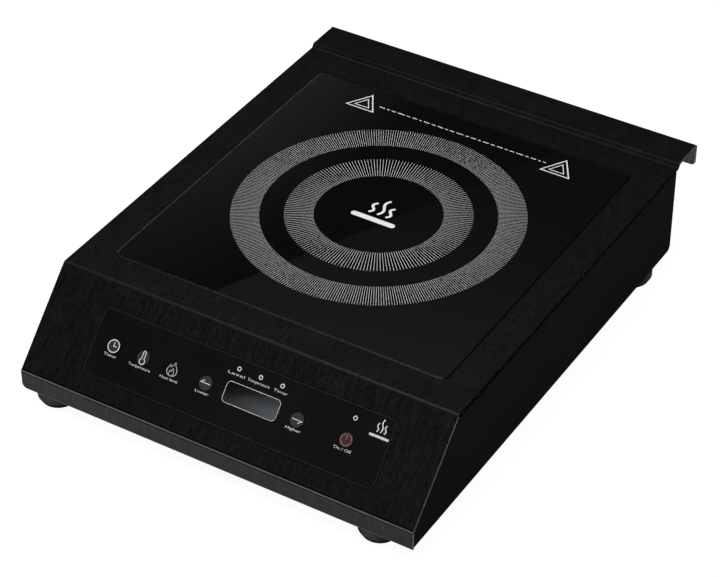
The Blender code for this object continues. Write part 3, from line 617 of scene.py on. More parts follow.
LOOK = {
    "black_brushed_steel": brushed_black(),
    "black_coated_steel": coated_black(),
    "black_glass_ceramic": glass_black(),
    "grey_sealant": sealant(),
    "black_overlay": overlay_film(),
    "key_plastic": overlay_film("key_plastic", 0.0026, 0.0042),
    "smoked_window": window_mat(),
    "lamp_lens": lens(),
    "foot_rubber": rubber(),
    "zinc_screw": simple("zinc_screw", ((0.34, 0.34, 0.35), (0.50, 0.50, 0.50)), (0.28, 0.42),
                         metal=1.0, scale=(500, 500, 500)),
    "galvanised_steel": simple("galvanised_steel", ((0.30, 0.31, 0.32), (0.46, 0.47, 0.48)),
                               (0.32, 0.5), metal=1.0, scale=(90, 90, 90)),
    "black_plastic": simple("black_plastic", ((0.009, 0.009, 0.009), (0.015, 0.015, 0.015)),
                            (0.45, 0.6), spec=0.3, scale=(1400, 1400, 1400), bump=0.25),
    "circuit_board": simple("circuit_board", ((0.006, 0.06, 0.02), (0.012, 0.11, 0.035)),
                            (0.32, 0.45), scale=(260, 260, 260)),
    "enamelled_copper": simple("enamelled_copper", ((0.30, 0.10, 0.03), (0.52, 0.20, 0.06)),
                               (0.28, 0.4), metal=0.9, scale=(900, 900, 900)),
    "ferrite": simple("ferrite", ((0.022, 0.022, 0.024), (0.04, 0.04, 0.042)), (0.5, 0.7),
                      scale=(1100, 1100, 1100), bump=0.35),
    "mica": simple("mica", ((0.42, 0.37, 0.26), (0.58, 0.52, 0.40)), (0.4, 0.6),
                   scale=(160, 160, 160)),
    "aluminium": simple("aluminium", ((0.50, 0.50, 0.52), (0.66, 0.66, 0.68)), (0.28, 0.42),
                        metal=1.0, scale=(40, 1200, 1200)),
    "spring_steel": simple("spring_steel", ((0.34, 0.34, 0.34), (0.48, 0.48, 0.48)), (0.25, 0.35),
                           metal=1.0, scale=(1500, 1500, 1500)),
    "switch_plastic": simple("switch_plastic", ((0.015, 0.015, 0.017), (0.026, 0.026, 0.028)),
                             (0.42, 0.55), scale=(1400, 1400, 1400)),
    "film_capacitor": simple("film_capacitor", ((0.45, 0.27, 0.02), (0.60, 0.40, 0.04)),
                             (0.32, 0.42), scale=(300, 300, 300)),
    "ribbon_cable": simple("ribbon_cable", ((0.28, 0.28, 0.29), (0.42, 0.42, 0.43)),
                           (0.42, 0.55), scale=(2200, 30, 30)),
}
SHADE_PAINT = painted_shade_black()
INK_WHITE = print_ink("ink_white", (0.60, 0.60, 0.59), (0.74, 0.74, 0.73))
INK_BRIGHT = print_ink("ink_bright", (0.78, 0.78, 0.78), (0.88, 0.88, 0.88))
INK_GREY = print_ink("ink_grey", (0.020, 0.021, 0.021), (0.026, 0.027, 0.027))
INK_DARK = print_ink("ink_dark_grey", (0.016, 0.017, 0.018), (0.022, 0.023, 0.025))
INK_LINE = print_ink("ink_line_grey", (0.030, 0.030, 0.030), (0.050, 0.050, 0.050))
INK_RED = print_ink("ink_red", (0.44, 0.055, 0.075), (0.56, 0.085, 0.105))

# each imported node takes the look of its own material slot
SLOT_OF = {}
for _name, _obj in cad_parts.items():
    slot_name = None
    for _m in _obj.data.materials:
        if _m is None:
            continue
        for _s in LOOK:
            if _m.name == _s or _m.name.startswith(_s + "."):
                slot_name = _s
    SLOT_OF[_name] = slot_name
FALLBACK = (("side_panel", "black_coated_steel"), ("base_plate", "black_coated_steel"),
            ("rear_panel", "black_coated_steel"), ("top_cover", "black_brushed_steel"),
            ("glass_plate", "black_glass_ceramic"), ("glass_seal", "grey_sealant"),
            ("glass_frame", "galvanised_steel"), ("control_overlay", "black_overlay"),
            ("key_", "key_plastic"), ("switch_", "switch_plastic"), ("lamp_", "lamp_lens"),
            ("display_window", "smoked_window"), ("foot_screw", "zinc_screw"),
            ("foot_", "foot_rubber"), ("coil_winding", "enamelled_copper"),
            ("choke", "enamelled_copper"), ("mica", "mica"), ("ferrite", "ferrite"),
            ("temperature_sensor", "aluminium"), ("heat_sink", "aluminium"),
            ("sensor_spring", "spring_steel"), ("power_board", "circuit_board"),
            ("control_board", "circuit_board"), ("resonance", "film_capacitor"),
            ("filter", "film_capacitor"), ("ribbon", "ribbon_cable"))
for _name, _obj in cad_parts.items():
    if SLOT_OF[_name] is None:
        SLOT_OF[_name] = next((s for p, s in FALLBACK if _name.startswith(p)), "black_plastic")
    _obj.data.materials.clear()
    _obj.data.materials.append(LOOK[SLOT_OF[_name]])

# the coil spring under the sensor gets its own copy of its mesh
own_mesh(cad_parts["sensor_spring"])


def stand_for(obj, body, slot_name, *nodes):
    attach(obj, body)
    if nodes:
        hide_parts(*nodes)
    return obj


# ---------------------------------------------------------------- folded sheet
def sheet_sweep(bm, outer, inner, half_w, x_limits=None, r=0.24, n=4, paint=None):
    """One bent sheet. outer and inner are matching points across the thickness;
    the section at each point is a rectangle with rounded edges, and the first
    and last sections close down so that all four cut edges are rounded too."""
    outer = [Vector(p) for p in outer]
    inner = [Vector(p) for p in inner]

    def insert_near_ends(a, b):
        # extra sections at the free ends, for the rounded edge and corners
        steps = [r * (1 - math.cos(math.radians(90.0 * k / n))) for k in range(1, n + 1)]
        steps += [r + 0.12, 0.7, 1.2, 1.8, 2.4, 3.1, 3.9, 4.7]
        d0, d1 = a[1] - a[0], b[1] - b[0]
        length = d0.length
        na, nb = [a[0]], [b[0]]
        for s in steps:
            if s < length - 0.2:
                na.append(a[0] + d0.normalized() * s)
                nb.append(b[0] + d1.normalized() * s)
        return na + a[1:], nb + b[1:]

    outer, inner = insert_near_ends(outer, inner)
    ro, ri = insert_near_ends(outer[::-1], inner[::-1])
    outer, inner = ro[::-1], ri[::-1]
    dist = [0.0]
    for i in range(1, len(outer)):
        dist.append(dist[-1] + (outer[i] - outer[i - 1]).length)
    total = dist[-1]
    loops, sections = [], []
    for i, (p, q) in enumerate(zip(outer, inner)):
        end = min(dist[i], total - dist[i])
        shrink = r - math.sqrt(max(0.0, r * r - (r - min(end, r)) ** 2))
        x0, x1 = (-half_w, half_w) if x_limits is None else x_limits(dist[i], total)
        t = (q - p).length
        x0, x1 = x0 + shrink, x1 - shrink
        lo, hi = shrink, t - shrink
        rr = max(0.02, r - shrink)
        # (x, depth through the sheet)
        sec = (arc(x1 - rr, lo + rr, rr, -90, 0, n) + arc(x1 - rr, hi - rr, rr, 0, 90, n)
               + arc(x0 + rr, hi - rr, rr, 90, 180, n) + arc(x0 + rr, lo + rr, rr, 180, 270, n))
        g = 0.3
        m = n + 1
        sec = ([(x0 + rr + g, lo), (x1 - rr - g, lo)] + sec[:2 * m]
               + [(x1 - rr - g, hi), (x0 + rr + g, hi)] + sec[2 * m:])
        u = (q - p) / t
        loops.append([(x, p.x + u.x * d, p.y + u.y * d) for x, d in sec])
        sections.append(sec)
    rings = loft(bm, loops)
    if paint is None:
        return
    bm.verts.index_update()
    where = {}
    for i, ring in enumerate(rings):
        for j, v in enumerate(ring):
            where[v] = (outer[i], sections[i][j])
    for f in bm.faces:
        if len(f.verts) != 4 or any(v not in where for v in f.verts):
            continue
        at = [where[v] for v in f.verts]
        line = sum((a[0] for a in at), Vector((0, 0))) / 4   # point on the outer profile (y, z)
        x = sum(a[1][0] for a in at) / 4
        depth = sum(a[1][1] for a in at) / 4                 # 0 outer face, 1 inner face
        f.material_index = paint(line, x, depth)


cover_line = [(Y_LIP, Z_BASE), (Y_LIP, Z_BEND), (Y_EDGE, Z_TOP), (Y_STEP0, Z_TOP),
              (Y_STEP1, Z_LEDGE), (Y_REAR, Z_LEDGE), (Y_REAR, Z_FLANGE)]
BEND = 12
cover_outer = fillet(cover_line, (2.2, 3.2, 0.5, 1.0, 1.8), BEND)
cover_inner = fillet(offset(cover_line, SHEET), (1.2, 2.2, 1.5, 0.4, 0.8), BEND)


def corner(d, r):
    return 0.0 if d >= r else r - math.sqrt(max(0.0, r * r - (r - d) ** 2))


def cover_limits(d, total):
    left = corner(d, 4.5) + corner(total - d, 4.0)
    right = corner(d, 0.5) + corner(total - d, 4.0)
    return -HALF_W + left, HALF_W - right


def glass_loop(d, n=16):
    return round_rect(-GLASS_HX - d, GLASS_Y - GLASS_HY - d, GLASS_HX + d, GLASS_Y + GLASS_HY + d,
                      max(0.8, GLASS_R + d), n)


def fold_centre(k, r):
    """Centre of the k-th fold's outer radius."""
    p, a, b = Vector(cover_line[k]), Vector(cover_line[k - 1]), Vector(cover_line[k + 1])
    u, v = (a - p).normalized(), (b - p).normalized()
    half = math.acos(max(-1, min(1, u.dot(v)))) / 2
    return p + (u + v).normalized() * (r / math.sin(half))


LIP_C, FRONT_C = fold_centre(1, 2.2), fold_centre(2, 3.2)
slope_u = (Vector(cover_line[2]) - Vector(cover_line[1])).normalized()
slope_p = Vector(cover_line[1]) + slope_u * 1.75


def cover_paint(line, x, depth):
    """0 brushed black, 1 worn edge with painted highlight, 2 painted highlight on folds, 3 painted reflection on the
    inner side, 4 painted shade in gaps and dark lines, 5 painted highlight on the cut end of the lip."""
    y, z = line
    if depth > 0.80:
        return 3
    # side cut edges: painted highlight on the right (1, 5); painted shade on the left of the lip and slope and along
    # the top's right edge (4)
    if abs(x) > HALF_W - 0.42 if x > 0 else abs(x) > HALF_W - 0.2:
        if y < Y_LIP + 0.3 and x > 0:
            return 5
        if y > Y_STEP1 - 0.2:
            return 1 if x > 0 else 0
        if z < Z_TOP - 1.5 and y < Y_EDGE + 2:
            return 1 if x > 0 else 4
        return 4 if y < Y_STEP0 and x > 0 else 0
    if depth > 0.3:
        return 0 if y < Y_LIP + 5 else 3
    # painted highlight along the lip's lower edge
    if z < Z_BASE + 0.75:
        return 1
    # painted highlight line on the lip fold, with painted shade on either side of it
    a = math.degrees(math.atan2(z - LIP_C.y, y - LIP_C.x)) % 360
    if (line - LIP_C).length < 2.35 and a < 181:
        return 1 if 141 < a < 172 else 4
    # painted shade lines at the top of the lip and the foot of the slope
    if y < Y_LIP + 0.1 and z > LIP_C.y - 0.5:
        return 4
    if y < slope_p.x and z < slope_p.y:
        return 4 if y > Y_LIP + 0.2 else 0
    # two painted highlight lines on the front fold
    if (line - FRONT_C).length < 3.35:
        a = math.degrees(math.atan2(z - FRONT_C.y, y - FRONT_C.x)) % 360
        if 90 < a < 97 or 126 < a < 133.5:
            return 2
    # painted highlight on the rear step
    if Y_STEP0 - 0.35 < y < Y_STEP1 and z < Z_TOP + 0.65:
        return 2
    return 0


# extra sections for the fine painted highlight and painted shade lines along the step, lip and slope
def with_points(points, extra):
    out = list(points)
    for seg, p in extra:
        best = min(range(len(out) - 1), key=lambda i: abs((out[i] - p).length + (out[i + 1] - p).length
                                                          - (out[i + 1] - out[i]).length))
        out.insert(best + 1, p)
    return out


bm = bmesh.new()
step_dir = (Vector(cover_line[4]) - Vector(cover_line[3])).normalized()
step_p = Vector(cover_line[3]) + step_dir * 1.0
side_n = Vector((step_dir.y, -step_dir.x))
foot_p = Vector((Y_STEP0 - 0.7, Z_TOP))
lip_p = Vector((Y_LIP, LIP_C.y - 0.5))
slope_n = Vector((slope_u.y, -slope_u.x))
outer_pts = with_points(cover_outer, [(0, step_p), (0, foot_p), (0, lip_p), (0, slope_p)])
inner_pts = with_points(cover_inner, [(0, step_p + side_n * SHEET), (0, foot_p + Vector((0, -SHEET))),
                                      (0, lip_p + Vector((SHEET, 0))), (0, slope_p + slope_n * SHEET)])
sheet_sweep(bm, outer_pts, inner_pts, HALF_W, cover_limits, paint=cover_paint)
cover = to_object("cover_skin", bm, [LOOK["black_brushed_steel"], wear_and_highlight_edge(), fold_highlight_paint(), inner_reflection_paint(),
                                    SHADE_PAINT, bare_end_and_highlight()])
bm = bmesh.new()
# glass opening, its upper edge broken by 0.15 mm
loft(bm, [[(x, y, z) for x, y in glass_loop(d)] for d, z in
          ((1.2, Z_TOP - 4), (1.2, Z_TOP - 0.16), (1.24, Z_TOP - 0.07), (1.32, Z_TOP), (3.3, Z_TOP + 2))])
hole = round_rect(-114.0, 20.0, 122.5, 64.0, 3.0, 6)
prism(bm, hole, [], -4, 4, lambda p: PANEL @ p)
cut(cover, bm)
stand_for(cover, "housing", "black_brushed_steel", "top_cover")

# ---------------------------------------------------------------- glass and bead
bm = bmesh.new()
levels = [(-0.25, Z_TOP - 4.0), (0.0, Z_TOP - 3.75), (0.0, Z_TOP - 0.35), (0.0, Z_TOP - 0.25)]
for k in range(1, 6):
    a = math.radians(90.0 * k / 5)
    levels.append((-0.25 * (1 - math.cos(a)), Z_TOP - 0.25 + 0.25 * math.sin(a)))
levels.append((-0.4, Z_TOP))
loft(bm, [[(x, y, z) for x, y in glass_loop(d)] for d, z in levels])
glass = to_object("glass_top", bm, LOOK["black_glass_ceramic"], 40)
stand_for(glass, "housing", "black_glass_ceramic", "glass_plate")

bm = bmesh.new()
seal_lo, seal_hi = Z_TOP - 5.3, Z_TOP - 4.3
bead = [(-10.0, seal_lo), (0.9, seal_lo), (0.9, Z_TOP - 0.35), (0.84, Z_TOP - 0.22),
        (0.7, Z_TOP - 0.12), (0.6, Z_TOP - 0.1), (0.5, Z_TOP - 0.12), (0.36, Z_TOP - 0.22),
        (0.3, Z_TOP - 0.35), (0.3, seal_hi), (-10.0, seal_hi)]
loft(bm, [[(x, y, z) for x, y in glass_loop(d)] for d, z in bead], cap=False, closed=True)
seal = to_object("seal_bead", bm, LOOK["grey_sealant"], 40)
stand_for(seal, "housing", "grey_sealant", "glass_seal")

# ---------------------------------------------------------------- side panels
inside = offset(cover_line, SHEET + 0.3)
lip_y, bend_z = inside[1].x, inside[1].y
SIDE_TOP = side_hi.z
Y_BACK = side_hi.y
PLATE_TOP = SIDE_TOP - 2.4          # the plate stops short of the cover, leaving a groove
top_y = lip_y + (PLATE_TOP - bend_z) * PANEL_RUN / PANEL_RISE
side_points = ([((lip_y, Z_BASE), 0.3)]
               + [(p, 0.3) for p in arc(Y_BACK - 5.0, Z_BASE + 5.0, 5.0, -90, 0, 14)]
               + [((Y_BACK, SIDE_TOP - 1.1), 0.3), ((top_y, PLATE_TOP), 0.3), ((lip_y, bend_z), 0.3)])
for name, side in (("left", -1), ("right", 1)):
    outline = [Vector(p) for p, _ in side_points]
    bm = bmesh.new()
    loops = []
    x_out = side * side_hi.x
    seq = [(0.42, 0.0)] + [(0.3 * (1 - math.sin(math.radians(90 * k / 4))),
                            0.3 * (1 - math.cos(math.radians(90 * k / 4)))) for k in range(5)]
    seq += [(0.0, 1.1), (0.1, 1.2)]
    for inset, depth in seq:
        loops.append([(x_out - side * depth, p.x, p.y) for p in offset(outline, -inset, closed=True)])
    loft(bm, loops)
    # folded rims, one under the cover and one on the base plate, coloured as painted shade
    for z0, z1, ya, yb in ((PLATE_TOP - 1.5, SIDE_TOP, top_y + 5, Y_BACK - 2.4),
                           (Z_BASE + 1.3, Z_BASE + 2.3, Y_LIP + 14, Y_BACK - 8)):
        first = len(bm.faces)
        xa, xb = sorted((x_out - side * 1.25, x_out - side * 11.0))
        loft(bm, [[(x, y, z0) for x, y in round_rect(xa, ya, xb, yb, 1.0, 3)],
                  [(x, y, z1) for x, y in round_rect(xa, ya, xb, yb, 1.0, 3)]])
        for f in list(bm.faces)[first:]:
            f.material_index = 1
    panel_obj = to_object("side_skin_" + name, bm, [LOOK["black_coated_steel"], SHADE_PAINT])
    stand_for(panel_obj, "housing", "black_coated_steel", "side_panel_" + name)

# ---------------------------------------------------------------- base plate
FAN_X, FAN_Y = -82.0, 60.0
bm = bmesh.new()
holes = []
for tag in ("front_left", "front_right", "rear_left", "rear_right"):
    lo, hi = node_box("foot_screw_" + tag)
    holes.append(circle((lo.x + hi.x) / 2, (lo.y + hi.y) / 2, 2.3, 24))
for row in range(-4, 5):
    half = math.sqrt(max(0.0, 36.5 ** 2 - (row * 8.0) ** 2))
    if half > 12:
        for sx in (-1, 1):
            holes.append(slot_outline(FAN_X + sx * (half / 2 + 1.6), FAN_Y + row * 8.0,
                                      half - 3.2, 3.4))
for k in range(6):
    for y in (-150.0, -141.0):
        holes.append(slot_outline(-62.5 + k * 25.0, y, 18.0, 3.4))
outline = round_rect(base_lo.x, base_lo.y, base_hi.x, base_hi.y, 1.0, 5)
prism(bm, outline, holes, Z_BASE, Z_BASE + SHEET)
base = to_object("base_skin", bm, LOOK["black_coated_steel"])
mod = base.modifiers.new("edge", 'BEVEL')
mod.width, mod.segments, mod.limit_method = 0.00022, 3, 'ANGLE'
mod.angle_limit = math.radians(50)
mod.use_clamp_overlap = False
mod.harden_normals = False
apply_modifiers(base)
base.data.shade_smooth()
base.data.set_sharp_from_angle(angle=math.radians(30))
stand_for(base, "housing", "black_coated_steel", "base_plate")

# ---------------------------------------------------------------- rear panel
rear_line = [(rear_lo.y, Z_BASE), (Y_BACK, Z_BASE), (Y_BACK, rear_hi.z)]
bm = bmesh.new()
sheet_sweep(bm, fillet(rear_line, (5.0,), 14), fillet(offset(rear_line, -SHEET), (4.0,), 14),
            rear_hi.x, None, r=0.2)
rear = to_object("rear_skin", bm, LOOK["black_coated_steel"])
bm = bmesh.new()
flare = ((-3.0, 0.0), (-0.2, 0.0), (-0.08, 0.04), (0.0, 0.12), (1.5, 1.62))
for k in range(14):
    loops = []
    for y, d in flare:
        loops.append([(x, Y_BACK + y, z) for x, z in
                      slot_outline(-140.0 + k * 15.0, 49.0, 34.0 + 2 * d, 3.6 + 2 * d, 90.0)])
    loft(bm, loops)
gx, gz = (gland_lo.x + gland_hi.x) / 2, (gland_lo.z + gland_hi.z) / 2
loft(bm, [[(x, Y_BACK + y, z) for x, z in circle(gx, gz, 8.3 + d, 48)] for y, d in flare])
cut(rear, bm)
stand_for(rear, "housing", "black_coated_steel", "rear_panel")

# ---------------------------------------------------------------- cable gland
GLAND = Matrix.Translation((gx, Y_BACK, gz)) @ Matrix.Rotation(-math.pi / 2, 4, 'X')
bm = bmesh.new()
prof = [(4.4, -12.0), (7.6, -12.0), (7.6, 0.3), (11.0, 0.3), (11.0, 4.5), (9.6, 6.0), (9.6, 15.0),
        (8.6, 18.0), (6.6, 19.6), (4.4, 19.6)]
prof = round_profile(prof, (0.4, 0.0, 0.5, 0.5, 0.3, 0.8, 1.0, 0.8), 4)
bm2 = bm
turned(bm2, prof, 72, closed=True, place=GLAND)
# grip ribs round the dome nut, moulded into its wall
for k in range(16):
    a = 2 * math.pi * k / 16
    c, s = math.cos(a), math.sin(a)
    rib = [Vector((9.3 * c - 0.55 * s, 9.3 * s + 0.55 * c, 0)), Vector((9.3 * c + 0.55 * s, 9.3 * s - 0.55 * c, 0)),
           Vector((10.15 * c + 0.35 * s, 10.15 * s - 0.35 * c, 0)), Vector((10.15 * c - 0.35 * s, 10.15 * s + 0.35 * c, 0))]
    loft(bm2, [[GLAND @ Vector((p.x, p.y, z)) for p in rib] for z in (6.6, 14.6)])
gland = to_object("gland_body", bm2, LOOK["black_plastic"], 35)
stand_for(gland, "housing", "black_plastic", "cable_gland")

# ---------------------------------------------------------------- feet
for tag in ("front_left", "front_right", "rear_left", "rear_right"):
    lo, hi = node_box("foot_" + tag)
    fx, fy, r = (lo.x + hi.x) / 2, (lo.y + hi.y) / 2, 16.0
    pts = [(2.3, 4.6), (4.8, 4.6), (4.8, 0.0), (13.2, 0.0), (r, 5.0), (r, 9.4), (r - 0.6, 11.7), (2.3, 11.7)]
    prof = round_profile(pts, (0.2, 0.5, 1.4, 1.6, 1.0, 0.5), 6)
    prof = [p for p in prof]
    bm = bmesh.new()
    turned(bm, prof, 96, closed=True, cx=fx, cy=fy)
    foot = to_object("foot_skin_" + tag, bm, LOOK["foot_rubber"], 35)
    stand_for(foot, "housing", "foot_rubber", "foot_" + tag)


# ---------------------------------------------------------------- control overlay
def at_panel(p):
    return PANEL @ Vector(p)


def panel_plate(bm, outline, holes, n0, n1):
    prism(bm, outline, holes, n0, n1, at_panel)


def stepped_plate(bm, x0, y0, x1, y1, r, n0, n1, edge, n=14):
    loops = []
    for d, z in ((0.0, n0), (0.0, n1 - edge), (edge * 0.3, n1 - edge * 0.3), (edge, n1)):
        loops.append([at_panel((x, y, z)) for x, y in round_rect(x0 + d, y0 + d, x1 - d, y1 - d, r - d, n)])
    loft(bm, loops)


bm = bmesh.new()
holes = [circle(x, KEY_S, 6.1, 64) for x in KEYS.values()]
holes += [circle(p.x, p.y, 2.1, 40) for p in LAMPS.values()]
holes.append(round_rect(DISPLAY[0] - 0.3, DISPLAY[1] - 0.3, DISPLAY[2] + 0.3, DISPLAY[3] + 0.3, 3.0, 10))
panel_plate(bm, round_rect(OVERLAY_X0, OVERLAY_S0, OVERLAY_X1, OVERLAY_S1, 5.0, 14), holes, 0.2, N_FACE)
overlay = to_object("overlay_film", bm, LOOK["black_overlay"])
stand_for(overlay, "housing", "black_overlay", "control_overlay")

for node, x in KEYS.items():
    bm = bmesh.new()
    pts = [(0.0, KEY_TOP), (KEY_R, KEY_TOP), (KEY_R, -0.30), (6.9, -0.30), (6.9, -1.10), (1.4, -1.10),
           (1.4, -4.60), (0.0, -4.60)]
    prof = round_profile(pts, (0.28, 0.05, 0.1, 0.1, 0.1, 0.1), 5)
    prof.insert(1, (KEY_R - 0.45, KEY_TOP))
    turned(bm, prof, 72, place=PANEL @ Matrix.Translation((x, KEY_S, 0)))
    key = to_object(node + "_cap", bm, LOOK["key_plastic"], 35)
    stand_for(key, node, "key_plastic", node)

for node, p in LAMPS.items():
    bm = bmesh.new()
    prof = [(0.0, 0.60), (0.4, 0.58), (0.7, 0.50), (0.88, 0.40), (0.95, 0.26), (0.95, 0.02), (1.8, 0.02),
            (1.8, -5.6), (2.2, -5.6), (2.2, -6.6), (0.0, -6.6)]
    turned(bm, prof, 40, place=PANEL @ Matrix.Translation((p.x, p.y, 0)))
    lamp = to_object(node + "_lens", bm, LOOK["lamp_lens"], 40)
    stand_for(lamp, "housing", "lamp_lens", node)
    # pale bezel round the lens
    bm = bmesh.new()
    rim = round_profile([(1.02, 0.06), (1.72, 0.06), (1.72, 0.76), (1.02, 0.76)], (0.04, 0.04, 0.08, 0.08), 3)
    turned(bm, rim, 48, closed=True, place=PANEL @ Matrix.Translation((p.x, p.y, 0)))
    bezel = to_object(node + "_bezel", bm, INK_WHITE, 40)
    stand_for(bezel, "housing", "lamp_lens")

bm = bmesh.new()
stepped_plate(bm, *DISPLAY[:4], DISPLAY[4], -1.2, 0.55, 0.15)
window = to_object("window_lens", bm, LOOK["smoked_window"])
stand_for(window, "housing", "smoked_window", "display_window")


# ---------------------------------------------------------------- printing
class Print:
    """Thin closed shapes of ink laid on a face. to3d maps (x, y, height)."""

    def __init__(self, to3d, n0=0.004, n1=0.024):
        self.to3d, self.n0, self.n1 = to3d, n0, n1
        self.bm = bmesh.new()

    def plate(self, outline, holes=()):
        prism(self.bm, outline, holes, self.n0, self.n1, self.to3d)

    def quad(self, pts):
        loft(self.bm, [[self.to3d(Vector((x, y, z))) for x, y in pts] for z in (self.n0, self.n1)])

    def ring(self, cx, cy, r0, r1, n=96):
        self.plate(circle(cx, cy, r1, n), [circle(cx, cy, r0, n)])

    def disc(self, cx, cy, r, n=64):
        self.plate(circle(cx, cy, r, n))

    def arc_band(self, cx, cy, r0, r1, a0, a1, n=48):
        """Part of a ring with round ends."""
        h, m = (r1 - r0) / 2, (r0 + r1) / 2
        e0 = (cx + m * math.cos(math.radians(a0)), cy + m * math.sin(math.radians(a0)))
        e1 = (cx + m * math.cos(math.radians(a1)), cy + m * math.sin(math.radians(a1)))
        pts = (arc(cx, cy, r1, a0, a1, n) + arc(e1[0], e1[1], h, a1, a1 + 180, 6)[1:-1]
               + arc(cx, cy, r0, a1, a0, n) + arc(e0[0], e0[1], h, a0 + 180, a0 + 360, 6)[1:-1])
        self.plate(pts)

    def stroke(self, points, w, closed=False):
        """Line of width w along points, round ends when open."""
        pts = [Vector(p) for p in points]
        if closed:
            self.plate(offset(pts, w / 2, True) if signed_area(pts) > 0 else offset(pts, -w / 2, True),
                       [offset(pts, -w / 2, True) if signed_area(pts) > 0 else offset(pts, w / 2, True)])
            return
        a = offset(pts, w / 2)
        b = offset(pts, -w / 2)
        d0 = pts[0] - pts[1]
        d1 = pts[-1] - pts[-2]
        g0, g1 = math.degrees(math.atan2(d0.y, d0.x)), math.degrees(math.atan2(d1.y, d1.x))
        cap1 = arc(pts[-1].x, pts[-1].y, w / 2, g1 - 90, g1 + 90, 6)[1:-1]
        cap0 = arc(pts[0].x, pts[0].y, w / 2, g0 - 90, g0 + 90, 6)[1:-1]
        self.plate([tuple(p) for p in a] + cap1 + [tuple(p) for p in b[::-1]] + cap0)

    def done(self, name, mat, body):
        obj = to_object(name, self.bm, mat, 40)
        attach(obj, body)
        return obj


def signed_area(pts):
    return sum(pts[i - 1].x * pts[i].y - pts[i].x * pts[i - 1].y for i in range(len(pts))) / 2


def smooth_line(points, n=8, closed=False):
    """Catmull-Rom curve through points."""
    pts = [Vector(p) for p in points]
    m = len(pts)
    out = []
    segs = m if closed else m - 1
    for i in range(segs):
        if closed:
            p0, p1, p2, p3 = pts[(i - 1) % m], pts[i], pts[(i + 1) % m], pts[(i + 2) % m]
        else:
            p0, p1, p2, p3 = pts[max(i - 1, 0)], pts[i], pts[i + 1], pts[min(i + 2, m - 1)]
        for k in range(n):
            t = k / n
            out.append(0.5 * ((2 * p1) + (p2 - p0) * t + (2 * p0 - 5 * p1 + 4 * p2 - p3) * t * t
                              + (3 * p1 - p0 - 3 * p2 + p3) * t ** 3))
    if not closed:
        out.append(pts[-1])
    return [(p.x, p.y) for p in out]


def on_glass(p):
    return Vector((p[0], p[1], Z_TOP + p[2]))


# two rings of radial dashes
g = Print(on_glass)
for r0, r1, count, w in ((90.0, 112.0, 360, 0.185), (49.0, 71.5, 180, 0.20)):
    for k in range(count):
        a = 2 * math.pi * k / count
        c, s = math.cos(a), math.sin(a)
        pts = [(r0, -w / 2), (r1, -w / 2), (r1, w / 2), (r0, w / 2)]
        g.quad([(x * c - y * s, GLASS_Y + x * s + y * c) for x, y in pts])
g.done("zone_rings", INK_BRIGHT, "housing")

# plain centre mark: three rising wavy strokes over a short bar
g = Print(on_glass)
for cx, h0, h1 in ((-7.5, 12.5, 24.0), (0.0, 12.5, 31.0), (7.5, 12.5, 24.0)):
    pts = []
    for k in range(17):
        t = k / 16
        pts.append((cx + 1.7 * math.sin(2 * math.pi * t), h0 + (h1 - h0) * t))
    g.stroke(smooth_line(pts, 2), 2.1)
g.plate(round_rect(-19.0, 2.5, 19.0, 7.5, 2.5, 8))
g.done("centre_mark", INK_WHITE, "housing")

# plain triangles at both ends of a fine dashed line
g = Print(on_glass)
for cx in (-86.9, 88.5):
    pts = [(cx - 12.2, 128.3), (cx + 12.2, 128.3), (cx, 148.6)]
    g.stroke([Vector(p) for p in pts], 1.0, closed=True)
    c = Vector((cx, 135.1))
    g.stroke([c + (Vector(p) - c) * 0.52 for p in pts], 0.7, closed=True)
g.done("glass_triangles", INK_WHITE, "housing")
g = Print(on_glass)
x = -74.0
k = 0
widths = (5.2, 2.6, 4.1, 6.4, 3.2, 4.8, 2.4, 5.6, 3.8)
while x < 75.0:
    w = widths[k % len(widths)]
    g.plate(round_rect(x, 137.35, min(x + w, 76.0), 138.15, 0.35, 4))
    x += w + 1.7
    k += 1
g.done("glass_dashes", INK_WHITE, "housing")


def on_panel(height):
    return lambda p: PANEL @ Vector((p[0], p[1], height + p[2]))


# border line of the overlay, a fine dotted rule set in from its edge
g = Print(on_panel(N_FACE))
x0, s0, x1, s1 = OVERLAY_X0 + 0.5, OVERLAY_S0 + 0.5, OVERLAY_X1 - 0.5, OVERLAY_S1 - 0.5
path = [Vector(p) for p in round_rect(x0, s0, x1, s1, 4.6, 16)]
path.append(path[0])


def along(dist):
    """Point and direction at a distance along the border."""
    for a, b in zip(path, path[1:]):
        step = (b - a).length
        if dist <= step:
            return a + (b - a) * (dist / max(step, 1e-9)), (b - a).normalized()
        dist -= step
    return path[-1], (path[-1] - path[-2]).normalized()


border = sum((b - a).length for a, b in zip(path, path[1:]))
for k in range(int(border / 1.5)):
    (pa, ua), (pb, ub) = along(1.5 * k), along(1.5 * k + 0.95)
    na, nb = Vector((-ua.y, ua.x)) * 0.14, Vector((-ub.y, ub.x)) * 0.14
    g.quad([pa - na, pb - nb, pb + nb, pa + na])
g.done("overlay_border", INK_LINE, "housing")

# outline of the display window
g = Print(on_panel(N_FACE))
d = DISPLAY
g.plate(round_rect(d[0] - 0.78, d[1] - 0.78, d[2] + 0.78, d[3] + 0.78, 3.48, 12),
        [round_rect(d[0] - 0.40, d[1] - 0.40, d[2] + 0.40, d[3] + 0.40, 3.1, 12)])
g.done("overlay_outlines", INK_WHITE, "housing")


